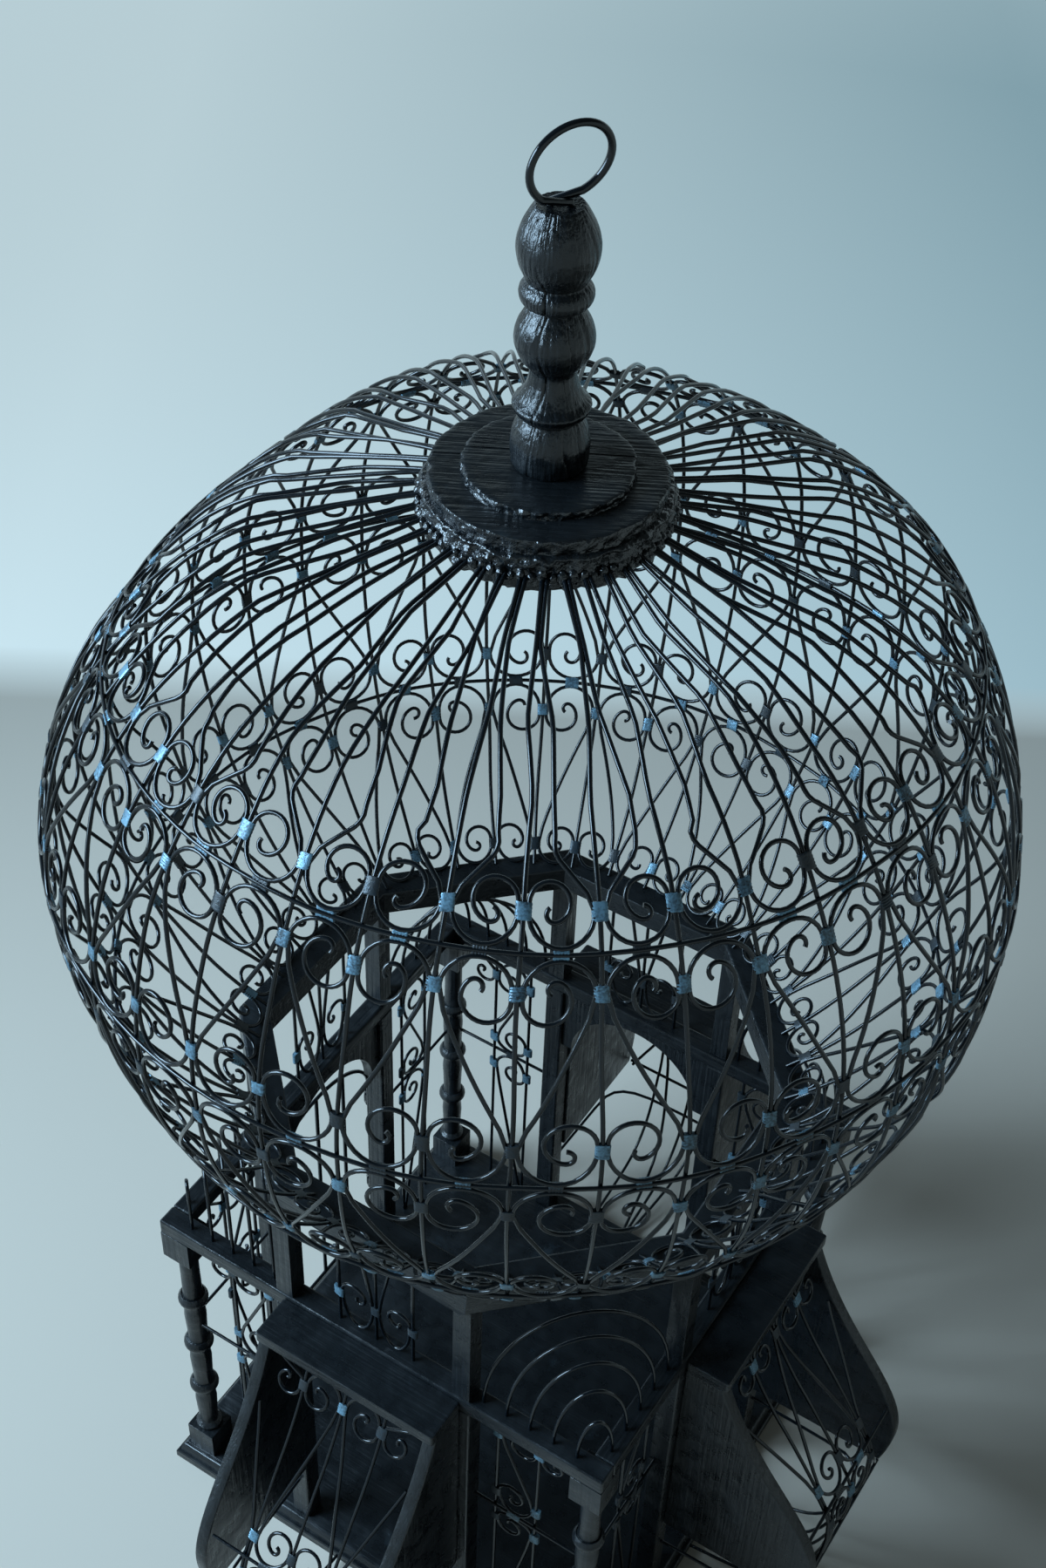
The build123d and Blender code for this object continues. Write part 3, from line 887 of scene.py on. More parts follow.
def half_band(sheet: Sheet, tied: float, free: float, row: float, ring: float, lift: float) -> Route:
    """Give a round bow from one rib's clip, past the ring wire, to the next rib's clip, and its curl.

    Args:
        sheet: The sheet that the wire lies on.
        tied: The rib that the bow starts from.
        free: The rib that the curl stands beside.
        row: The clips' distance down the sheet.
        ring: The ring wire's distance down the sheet.
        lift: How far the bow stands off the sheet at the ring.
    Returns:
        The wire's points.
    """
    hand = toward(tied, free)
    depth = ring - row - math.copysign(2 * WIRE_RADIUS + BOW_CLEAR, ring - row)
    points = []
    for i in range(BOW_STEPS + 1):
        angle = math.pi * i / BOW_STEPS
        share = (1 - math.cos(angle)) / 2
        points.append(sheet.place(tied + (free - tied) * share, hand * BESIDE * (1 - 2 * share),
                                  row + depth * math.sin(angle), lift * math.sin(angle) ** 2))
    return points + CURL.route(sheet, free, -hand, row, toward(row, ring), CURL_SHARE * sheet.pitch(row))


def linked(sheet: Sheet, tied: float, free: float, upper: Band, lower: Band, lift: float) -> Route:
    """Give a wire that curls under one band, crosses to the next rib and curls over the next band.

    Args:
        sheet: The sheet that the wire lies on.
        tied: The rib from which the wire crosses over.
        free: The rib that has its upper curl, to which it crosses.
        upper: The upper band.
        lower: The lower band.
        lift: How far the bows stand off the sheet at the rings.
    Returns:
        The wire's points.
    """
    hand = toward(tied, free)
    cross = sheet.run((tied, hand * BESIDE, upper.under + GRIP), (free, -hand * BESIDE, lower.over - GRIP),
                      CROSS_STEPS)
    return (half_band(sheet, tied, free, upper.under, upper.ring, lift)[::-1] + cross
            + half_band(sheet, free, tied, lower.over, lower.ring, lift))


@dataclass
class ClipShop:
    """Makes the wound strips that tie wires together, in two finishes."""

    chance: random.Random
    blue: list[Mesh] = field(default_factory=list)
    black: list[Mesh] = field(default_factory=list)
    length: float = 5.2
    half_wide: float = 2.35
    half_thick: float = 1.0
    sides: int = 14
    winds: int = 5
    groove: float = 0.16
    lap: float = 0.2
    lap_from: float = 0.4
    squareness: Pair = (0.62, 0.8)

    def wrap(self, centre: Vector, along: Vector, across: Vector, out: Vector, blue_share: float) -> None:
        """Add one wrapped strip.

        Args:
            centre: The strip's middle.
            along: The way the tied wires run.
            across: The way from wire to wire.
            out: The way out of the sheet.
            blue_share: Chance that the strip is rubbed to blue.
        """
        draw = self.chance
        length = self.length * draw.uniform(0.85, 1.15)
        wide = self.half_wide * draw.uniform(0.96, 1.08)
        thick = self.half_thick * draw.uniform(0.95, 1.1)
        skew = draw.uniform(-0.5, 0.5)
        lap_edge = draw.uniform(-0.6, 0.6)
        rows = 2 * self.winds + 1
        verts = []
        for row in range(rows):
            share = row / (rows - 1) - 0.5
            sunk = self.groove * (1 - row % 2)
            for k in range(self.sides):
                angle = math.tau * k / self.sides
                c, s = math.cos(angle), math.sin(angle)
                x = math.copysign(abs(c) ** self.squareness[0], c) * (wide - sunk)
                y = math.copysign(abs(s) ** self.squareness[1], s) * (thick - sunk)
                if s > self.lap_from and c > lap_edge:
                    y += self.lap
                verts.append(centre + along * (share * length + skew * c) + across * x + out * y)
        strips = self.blue if draw.random() < blue_share else self.black
        strips.append((verts, tube_faces(rows, self.sides)))

    def on_rib(self, sheet: Sheet, rib: float, row: float, blue_share: float) -> None:
        """Wrap a rib and the two wires beside it."""
        across, down, out = sheet.axes(rib, row)
        self.wrap(sheet.place(rib, 0, row), down, across, out, blue_share)

    def on_ring(self, sheet: Sheet, rib: float, ring: float, lift: float, blue_share: float) -> None:
        """Wrap a ring wire and the two bows that meet it."""
        across, down, out = sheet.axes(rib, ring)
        self.wrap(sheet.place(rib, 0, ring, lift), across, down, out, blue_share)

    def finish(self, name: str) -> None:
        """Turn what has been added into two pieces, and start again.

        Args:
            name: The start of the pieces' names.
        """
        for colour, strips, finish in (("blue", self.blue, Finish.BLUE_TIN),
                                       ("black", self.black, Finish.BLACK_TIN)):
            settle(mesh_piece(f"{name}_{colour}", merged(strips), finish))
            strips.clear()


# Sub-assemblies


@dataclass
class Dome:
    """The wire dome: ribs, crown wires, three bands of scrolls, ring wires and clips."""

    clips: ClipShop
    pairs: int = 20
    turn: float = 3.0
    radius: float = 171.0
    waist: float = 393.0
    crown: float = 138.0
    # Over the waist, a power above 2 makes the dome squarer than an ellipse.
    power: float = 3.1
    rim: float = 41.0
    seat: float = 106.05
    ring_top: float = 259.0
    levels: tuple[float, ...] = (85.0, 8.0, -71.0)
    spans: tuple[float, ...] = (12.0, 15.0, 12.5)
    lift: float = 1.1
    clip_lift: float = 0.45
    kink_rise: float = 16.5
    kink_out: float = 11.5
    # The kink's rounding: further out and further down than its middle.
    kink_round: Outline = ((0.2, -2.2), (0.0, 0.0), (-0.9, 2.0))
    crown_ease: float = 1.7
    foot_row: float = 9.0
    foot_grip: float = 2.0
    dents: tuple[Dent, ...] = (Dent(-84.0, 486.0, 9.5, 38.0), Dent(-57.0, 395.0, -2.4, 24.0),
                               Dent(-138.0, 502.0, -3.2, 24.0), Dent(158.0, 480.0, -2.0, 30.0),
                               Dent(114.0, 470.0, 1.4, 30.0), Dent(-25.0, 315.0, 1.6),
                               Dent(106.0, 346.0, -2.2, 30.0, 30.0))
    # Inside the elbow, the wires run straight to the cap's rim.
    elbow: float = 96.0
    # A crown wire's start, as a share of the way from one rib to the next.
    pair_gap: float = 0.24
    bend_marks: tuple[float, ...] = (0.0, 26.0, 54.0, 78.0, 104.0)
    bend: float = 6.0
    row_blue: float = 0.7
    ring_blue: float = 0.6
    foot_blue: float = 0.3
    over_steps: int = 120
    under_steps: int = 100
    rib_steps: int = 64
    crown_steps: int = 18
    sheet: RoundSheet = field(init=False)
    bands: list[Band] = field(init=False)

    def __post_init__(self) -> None:
        """Draw the meridian and find the bands on it."""
        stations = []
        first = math.asin(math.sqrt(1 - (self.rim / self.radius) ** self.power))
        for i in range(self.over_steps):
            angle = first * (1 - i / self.over_steps)
            out = self.radius * math.cos(angle) ** (2 / self.power)
            if i == 0 or out > self.elbow:
                stations.append((out, self.waist + self.crown * math.sin(angle)))
        drop = (self.waist - self.ring_top) / math.sqrt(1 - (self.seat / self.radius) ** 2)
        last = math.acos(self.seat / self.radius)
        for i in range(self.under_steps + 1):
            angle = last * i / self.under_steps
            stations.append((self.radius * math.cos(angle), self.waist - drop * math.sin(angle)))
        self.sheet = RoundSheet(stations, self.turn, 180 / self.pairs, self.dents)
        self.bands = [Band.about(self.sheet.mark_of(self.waist + level), span)
                      for level, span in zip(self.levels, self.spans)]

    def jog(self, wire: float, mark: float) -> float:
        """Find how far a wire, bent by hand at a few marks, stands aside between the cap and the first band.

        Args:
            wire: A number that only this wire has.
            mark: Distance down the sheet.
        Returns:
            The distance aside.
        """
        marks = self.bend_marks
        last = len(marks) - 1
        i = bisect.bisect_right(marks, mark) - 1
        if i >= last:
            return 0.0
        here, there = (self.bend * noise.noise(Vector((wire * 5.71, k * 3.37, 1.9))) if 0 < k < last else 0.0
                       for k in (i, i + 1))
        return here + (there - here) * (mark - marks[i]) / (marks[i + 1] - marks[i])

    def rib(self, number: int) -> Route:
        """Give one plain rib, from the cap to the ring beam."""
        marks = [self.sheet.length * i / self.rib_steps for i in range(self.rib_steps + 1)]
        return [self.sheet.place(number, self.jog(number, mark), mark) for mark in marks]

    def crown_route(self, tied: int, free: int) -> Route:
        """Draw the wire that leaves the cap, kinks to a tied rib and scrolls over the first band.

        Args:
            tied: The rib that it is tied to.
            free: The next rib, beside which it curls.
        Returns:
            The wire's points.
        """
        sheet, band, hand = self.sheet, self.bands[0], toward(tied, free)
        kink = band.over - self.kink_rise
        start = math.radians(sheet.step) * (min(hand, 0) + self.pair_gap)
        end = hand * self.kink_out / sheet.at(kink)[0]
        route = []
        for i in range(self.crown_steps):
            share = i / self.crown_steps
            angle = start + (end - start) * share ** self.crown_ease
            aside = angle * sheet.at(kink * share)[0] + self.jog(tied + 0.3 * hand, kink * share)
            route.append(sheet.place(tied, aside, kink * share))
        bends = [(tied, hand * (self.kink_out + out), kink + down) for out, down in self.kink_round]
        route += [sheet.place(*bend) for bend in bends]
        route += sheet.run(bends[-1], (tied, hand * BESIDE, band.over - GRIP), 5)
        return route + half_band(sheet, tied, free, band.over, band.ring, self.lift)

    def foot_route(self, tied: int, free: int) -> Route:
        """Draw the wire that hangs from the last band, crosses over and scrolls above the ring beam.

        Args:
            tied: The rib from which the wire crosses over.
            free: The next rib, to which it crosses.
        Returns:
            The wire's points.
        """
        sheet, band, hand = self.sheet, self.bands[-1], toward(tied, free)
        foot = sheet.length - self.foot_row
        cross = sheet.run((tied, hand * BESIDE, band.under + GRIP),
                          (free, -hand * BESIDE, foot - self.foot_grip), CROSS_STEPS)
        return (half_band(sheet, tied, free, band.under, band.ring, self.lift)[::-1] + cross
                + half_band(sheet, free, tied, foot, sheet.length + WIRE_RADIUS, 0.0))

    def build(self) -> None:
        """Make the wires and rings."""
        wire_piece("dome_rib_wires", [self.rib(i) for i in range(2 * self.pairs)], "dome_ribs")
        crowns, uppers, lowers, feet = [], [], [], []
        top, middle, low = self.bands
        for i in range(0, 2 * self.pairs, 2):
            for j in (i + 1, i - 1):
                crowns.append(self.crown_route(i, j))
                uppers.append(linked(self.sheet, i, j, top, middle, self.lift))
                lowers.append(linked(self.sheet, j, i, middle, low, self.lift))
                feet.append(self.foot_route(i, j))
        wire_piece("dome_crown_scrolls", crowns, "crown_wires")
        wire_piece("dome_upper_scrolls", uppers, "upper_scroll_wires")
        wire_piece("dome_lower_scrolls", lowers, "lower_scroll_wires")
        wire_piece("dome_foot_scrolls", feet, "foot_scroll_wires")
        for name, band in zip(("upper", "middle", "lower"), self.bands):
            loop = [self.sheet.place(k / 3, 0, band.ring, self.lift) for k in range(6 * self.pairs)]
            wire_piece(f"dome_{name}_ring", [loop], f"{name}_ring_wire", closed=True)

    def dress(self) -> None:
        """Tie the wires with clips."""
        clips, sheet, ribs = self.clips, self.sheet, range(2 * self.pairs)
        for band in self.bands:
            for rib in ribs:
                clips.on_rib(sheet, rib, band.over, self.row_blue)
                clips.on_rib(sheet, rib, band.under, self.row_blue)
                clips.on_ring(sheet, rib + 0.5, band.ring, self.lift * self.clip_lift, self.ring_blue)
        for rib in ribs:
            clips.on_rib(sheet, rib, sheet.length - self.foot_row, self.foot_blue)
        clips.finish("dome_clips")


@dataclass
class Cap:
    """The cap on the crown: a lumpy skirt, a disc and a raised disc, both cracked along one line."""

    bottom: float = 523.63
    radius: float = 41.5
    thick: float = 13.0
    # The skirt's side: height, and distance inside its radius.
    side: Outline = ((0.0, 3.5), (0.4, 1.4), (1.6, 0.3), (4.5, 0.0), (9.5, 0.0), (11.8, 0.5), (12.7, 1.4),
                     (13.0, 2.4))
    hollow: float = 14.0
    skirt_flats: int = 240
    lump: float = 1.6
    lump_top: float = 0.9
    lump_fade: float = 1.5
    disc_radius: float = 38.5
    disc_thick: float = 5.0
    disc_flats: int = 200
    disc_edge: float = 0.9
    disc_rim: float = 2.5
    drip_top: float = 0.35
    step_radius: float = 28.0
    step_thick: float = 3.0
    crack_turn: float = 29.0
    crack_back: float = 5.0
    crack: float = 0.5
    # A disc's face whose normal is less upright than this has the skirt's finish.
    steep: float = 0.6
    # Where the dome's wires go into the skirt; their turn is in radians.
    entry: float = 6.5
    entry_stray: float = 1.6
    entry_turn: float = 0.05
    entries: int = 80
    blob_size: Pair = (1.7, 0.9)
    blob_sunk: float = 0.6
    blob_tall: float = 1.2
    blob_flats: int = 9
    blob_rows: int = 6

    def lumps(self, angle: float, height: float) -> float:
        """Find how the runs and blobs of thick paint stand on the skirt.

        Args:
            angle: The angle about the axis, in radians.
            height: The height above the skirt's foot.
        Returns:
            The added radius.
        """
        where = polar(7.0, angle, height * 0.2)
        rough = noise.noise(where) * self.lump + noise.noise(where * 2.6 + Vector((9.1, 0, 0))) * self.lump
        fade = min(1.0, max(0.0, (self.thick - height) / self.lump_fade))
        return (min(rough, self.lump_top) - self.lump_top) * fade

    def drips(self, low: float, angle: float, height: float) -> float:
        """Find how thick paint stands on a disc's side.

        Args:
            low: Height of the disc's underside.
            angle: The angle about the axis, in radians.
            height: The height above the underside.
        Returns:
            The added radius.
        """
        where = polar(9.0, angle, (height + low) * 0.3 + 5.0)
        return min(noise.noise(where) + noise.noise(where * 2.3) * 0.7, self.drip_top) - self.drip_top

    def blob(self, number: int) -> Mesh:
        """Shape one drop of thick paint where a wire goes into the skirt.

        Args:
            number: The wire's number.
        Returns:
            The drop's points and faces.
        """
        turn = math.tau * number / self.entries + self.entry_turn
        usual, spread = self.blob_size
        size = usual + spread * noise.noise(Vector((number * 2.3, 4.4, 0.0)))
        reach = self.radius - self.blob_sunk - max(0.0, size - usual)
        place = Vector((math.sin(turn), -math.cos(turn), 0)) * reach
        place.z = self.bottom + self.entry + self.entry_stray * noise.noise(Vector((number * 3.1, 1.2, 0.0)))
        slopes = [math.pi * (i / self.blob_rows - 0.5) for i in range(self.blob_rows + 1)]
        outline = [(size * self.blob_tall * math.sin(a), max(size * math.cos(a), ON_AXIS)) for a in slopes]
        return lathe(outline, self.blob_flats, place)

    def cracked_disc(self, name: str, low: float, tall: float, radius: float, node: str) -> None:
        """Make a disc of two planks with a crack between them, and thick paint on its side.

        Args:
            name: The piece's name.
            low: Height of its underside.
            tall: Its thickness.
            radius: Its radius.
            node: The solid that it replaces.
        """
        edge, rows = self.disc_edge, 6
        outline = [((tall - edge) * i / rows, radius) for i in range(rows + 1)]
        outline += [(tall - edge * 0.3, radius - edge * 0.3), (tall, radius - edge),
                    (tall, radius - self.disc_rim), (tall, ON_AXIS)]
        drips = functools.partial(self.drips, low)
        verts, faces = lathe(outline, self.disc_flats, Vector((0, 0, low)), drips)
        # The added radius would carry the last row past the axis.
        verts[-self.disc_flats:] = [Vector((0, 0, low + tall))] * self.disc_flats
        piece = mesh_piece(name, (verts, faces), Finish.PLANKS)
        mesh = piece.data
        _, away = level_axes(self.crack_turn)
        both = bmesh.new()
        for sign in (1, -1):
            half = bmesh.new()
            half.from_mesh(mesh)
            cut = bmesh.ops.bisect_plane(half, geom=half.verts[:] + half.edges[:] + half.faces[:], dist=1e-7,
                                         plane_co=away * (self.crack_back + sign * self.crack / 2) * MM,
                                         plane_no=away * -sign, clear_outer=True)
            edges = [item for item in cut["geom_cut"] if isinstance(item, bmesh.types.BMEdge)]
            bmesh.ops.holes_fill(half, edges=edges)
            plank = bpy.data.meshes.new(f"{name}_plank")
            half.to_mesh(plank)
            half.free()
            both.from_mesh(plank)
            bpy.data.meshes.remove(plank)
        bmesh.ops.recalc_face_normals(both, faces=both.faces)
        both.to_mesh(mesh)
        both.free()
        mesh.materials.append(Finish.SKIRT.material)
        soften(mesh)
        for side in mesh.polygons:
            side.material_index = int(abs(side.normal.z) < self.steep)
        settle(piece, [node])

    def build(self) -> None:
        """Make the skirt and the two discs."""
        inner = self.radius - self.hollow
        side = smooth_line([(height, self.radius - inset) for height, inset in self.side], 4)
        outline = [(0.0, inner), *side, (self.thick, inner)]
        skirt = lathe(outline, self.skirt_flats, Vector((0, 0, self.bottom)), self.lumps)
        shape = merged([skirt, *(self.blob(i) for i in range(self.entries))])
        settle(mesh_piece("cap_lumpy_skirt", shape, Finish.SKIRT), ["cap_skirt"])
        low = self.bottom + self.thick
        self.cracked_disc("cap_plank_disc", low, self.disc_thick, self.disc_radius, "cap_disc")
        low += self.disc_thick
        self.cracked_disc("cap_raised_disc", low, self.step_thick, self.step_radius, "cap_step")


@dataclass
class Finial:
    """The turned finial and the wire loop on it."""

    bottom: float = 544.63
    height: float = 88.0
    segments: int = 220
    # Outlines from the bottom up: height and radius.
    base_bulb: Outline = ((0.0, 11.4), (1.2, 12.2), (5.0, 12.5), (9.5, 12.45), (14.0, 11.3), (17.4, 9.7))
    flare: Outline = ((17.8, 9.9), (19.5, 11.6), (21.4, 12.4), (22.4, 12.0), (24.0, 10.3), (28.0, 8.3),
                      (33.0, 7.2), (35.0, 7.9))
    ball: Outline = ((35.4, 8.4), (38.0, 10.4), (41.5, 11.9), (45.0, 12.4), (49.0, 11.6), (53.0, 9.6),
                     (55.6, 7.9))
    bead: Outline = ((56.0, 8.9), (57.4, 10.7), (59.8, 11.4), (62.0, 10.7), (63.4, 9.4))
    egg: Outline = ((63.9, 9.2), (66.0, 10.3), (69.5, 11.8), (74.0, 12.6), (78.0, 12.2), (82.0, 10.9),
                    (85.6, 9.0), (87.6, 7.7))
    # The hollowed top: depth under the finial's height, and radius.
    top: Outline = ((0.0, 7.2), (0.6, 3.6), (1.2, ON_AXIS))
    grain: float = 0.3
    # How far apart cracks are, how far one drifts and how wide it is are in radians about the axis.
    cracks: int = 7
    crack_apart: float = 2.4
    crack_drift: float = 0.35
    crack_reach: float = 0.15
    crack_half: float = 0.035
    crack_deep: float = 1.4
    crack_most: float = 0.7
    loop_radius: float = 11.6
    loop_half: float = 12.3
    loop_lean: float = 0.2
    loop_wire: float = 1.25
    loop_turn: float = 51.5
    loop_open: float = 32.0
    loop_foot: float = 2.4
    loop_clear: float = 0.15
    loop_steps: int = 44
    # The loop's ends: distance aside, and height above the finial's top.
    loop_ends: Outline = ((3.2, -2.0), (2.4, 0.6))

    def weathered(self, angle: float, height: float) -> float:
        """Find how raised grain, and a few cracks that run with it, stand on the finial.

        Args:
            angle: The angle about the axis, in radians.
            height: The height above the finial's foot.
        Returns:
            The added radius.
        """
        raised = noise.noise(polar(11.0, angle, height * 0.07)) * self.grain
        depth = 0.0
        for i in range(self.cracks):
            drift = noise.noise(Vector((i * 4.7, height * 0.05, 2.0))) * self.crack_drift
            apart = (angle - i * self.crack_apart - drift + math.pi) % math.tau - math.pi
            reach = max(0.0, noise.noise(Vector((i * 9.3, height * 0.045, 7.0))) + self.crack_reach)
            depth += reach * self.crack_deep * math.exp(-(apart / self.crack_half) ** 2)
        return -abs(raised) - min(depth, self.crack_most)

    def loop_route(self) -> Route:
        """Draw the loop: a near circle whose two ends cross and go into the finial's top.

        Returns:
            The loop's points.
        """
        top = self.bottom + self.height
        offset = self.loop_wire + self.loop_clear
        centre = top + self.loop_radius * math.cos(math.radians(self.loop_open)) + self.loop_foot
        points = [Vector((aside, -offset, top + rise)) for aside, rise in self.loop_ends]
        for i in range(self.loop_steps + 1):
            t = i / self.loop_steps
            angle = math.radians(180 + self.loop_open + (360 - 2 * self.loop_open) * t)
            height = centre + self.loop_radius * math.cos(angle)
            aside = self.loop_half * math.sin(angle) + self.loop_lean * (height - top)
            points.append(Vector((aside, offset * (2 * t - 1), height)))
        points += [Vector((-aside, offset, top + rise)) for aside, rise in reversed(self.loop_ends)]
        return turned_about(points, self.loop_turn)

    def build(self) -> None:
        """Make the finial and its loop."""
        outline = []
        for part in (self.base_bulb, self.flare, self.ball, self.bead, self.egg):
            outline += smooth_line(part, 4)
        outline += [(self.height - depth, radius) for depth, radius in self.top]
        shape = lathe(outline, self.segments, Vector((0, 0, self.bottom)), self.weathered)
        settle(mesh_piece("turned_finial", shape, Finish.TURNED), ["finial"])
        wire_piece("wire_loop", [self.loop_route()], "hanging_loop", self.loop_wire)


@dataclass(frozen=True)
class Walls:
    """The lower storey's sizes that its timber and its wirework share."""

    board: float = 10.0
    half: float = 107.0
    line: float = 102.5
    rail_bottom: float = 177.0
    rail_top: float = 185.0
    ring_bottom: float = 247.0


WALLS = Walls()


@dataclass
class Storey:
    """The wooden lower storey and drum, with the solids that show as they are."""

    half_board: float = 112.0
    # The board's moulded edge: height, and distance inside its half width; a quarter round follows.
    rim: Outline = ((0.0, 0.6), (0.6, 0.0), (4.6, 0.0), (5.2, 0.5), (5.3, 1.6))
    rim_round: Pair = (4.7, 2.4)
    rim_steps: int = 6
    block: float = 14.0
    block_height: float = 16.0
    # A post's ends, from each end inwards, and its beads, from each bead's middle: height and radius.
    post_end: Outline = ((0.0, 5.6), (2.0, 5.9), (3.6, 4.4), (6.0, 4.2))
    post_bead: Outline = ((-12.0, 4.9), (-5.0, 4.3), (-3.2, 5.2), (-1.5, 6.3), (0.0, 6.6), (1.5, 6.3),
                          (3.2, 5.2), (5.0, 4.3))
    post_beads: int = 3
    post_flats: int = 24
    post_edge: float = 0.6
    arch_radius: float = 33.0
    arch_drop: float = 38.0
    arch_thick: float = 5.0
    arch_steps: int = 28
    bay: float = 37.957
    timber_edge: float = 0.8

    def moulded_board(self) -> Mesh:
        """Shape the base board, with its stepped and rounded edge.

        Returns:
            Its points and faces.
        """
        height, inset = self.rim[-1]
        turns = [math.pi / 2 * i / self.rim_steps for i in range(1, self.rim_steps + 1)]
        tall, deep = self.rim_round
        rim = [*self.rim, *((height + tall * math.sin(a), inset + deep * (1 - math.cos(a))) for a in turns)]
        corners = ((-1, -1), (1, -1), (1, 1), (-1, 1))
        verts = [Vector((x * (self.half_board - inside), y * (self.half_board - inside), level))
                 for level, inside in rim for x, y in corners]
        return verts, tube_faces(len(rim), len(corners))

    def posts(self) -> Mesh:
        """Shape the four turned corner posts, with their square blocks.

        Returns:
            Their points and faces.
        """
        low = WALLS.board + self.block_height
        length = WALLS.rail_bottom - self.block_height - low
        outline = list(self.post_end)
        for i in range(self.post_beads):
            middle = length * (i + 1) / (self.post_beads + 1)
            outline += [(middle + rise, radius) for rise, radius in self.post_bead]
        outline += [(length - rise, radius) for rise, radius in reversed(self.post_end)]
        middle, edge, half = WALLS.half - self.block / 2, WALLS.half - self.block, WALLS.half
        post = merged([lathe(smooth_line(outline, 2), self.post_flats, Vector((middle, middle, low))),
                       squared((edge, edge, WALLS.board), (half, half, low)),
                       squared((edge, edge, low + length), (half, half, WALLS.rail_bottom))])
        return on_each_side(post)

    def arches(self) -> Mesh:
        """Shape the four arch boards.

        Returns:
            Their points and faces.
        """
        top, bottom = WALLS.rail_bottom, WALLS.rail_bottom - self.arch_drop
        near, far = -WALLS.line - self.arch_thick / 2, -WALLS.line + self.arch_thick / 2
        turns = [math.pi * i / self.arch_steps for i in range(self.arch_steps + 1)]
        arc = [(-self.arch_radius * math.cos(a), bottom + self.arch_radius * math.sin(a)) for a in turns]
        under = [(-self.bay, bottom), *arc, (self.bay, bottom)]
        over = [-self.bay] * 2 + [x for x, _ in arc[1:-1]] + [self.bay] * 2
        verts = []
        for (x, z), above in zip(under, over):
            verts += [Vector((x, near, z)), Vector((above, near, top)),
                      Vector((above, far, top)), Vector((x, far, z))]
        return on_each_side((verts, tube_faces(len(under), 4)))

    def build(self) -> None:
        """Make the moulded board, the turned posts and the arch boards."""
        board = mesh_piece("moulded_base_board", self.moulded_board(), Finish.CROSSWISE)
        settle(board, ["base_board"])
        posts = mesh_piece("turned_corner_posts", self.posts(), Finish.UPRIGHT, bevel=self.post_edge)
        settle(posts, ["corner_posts"])
        arches = mesh_piece("arch_boards_cut", self.arches(), Finish.UPRIGHT)
        settle(arches, ["arch_boards"])

    def dress(self) -> None:
        """Give the plain timbers their finish."""
        for node, finish in (("long_rails", Finish.CROSSWISE), ("short_rails", Finish.LENGTHWISE),
                             ("wall_posts", Finish.UPRIGHT), ("drum_posts", Finish.UPRIGHT),
                             ("ring_beam", Finish.CROSSWISE), ("balcony_shelves", Finish.CROSSWISE),
                             ("balcony_cheeks", Finish.UPRIGHT)):
            dress_solid(node, finish, self.timber_edge)


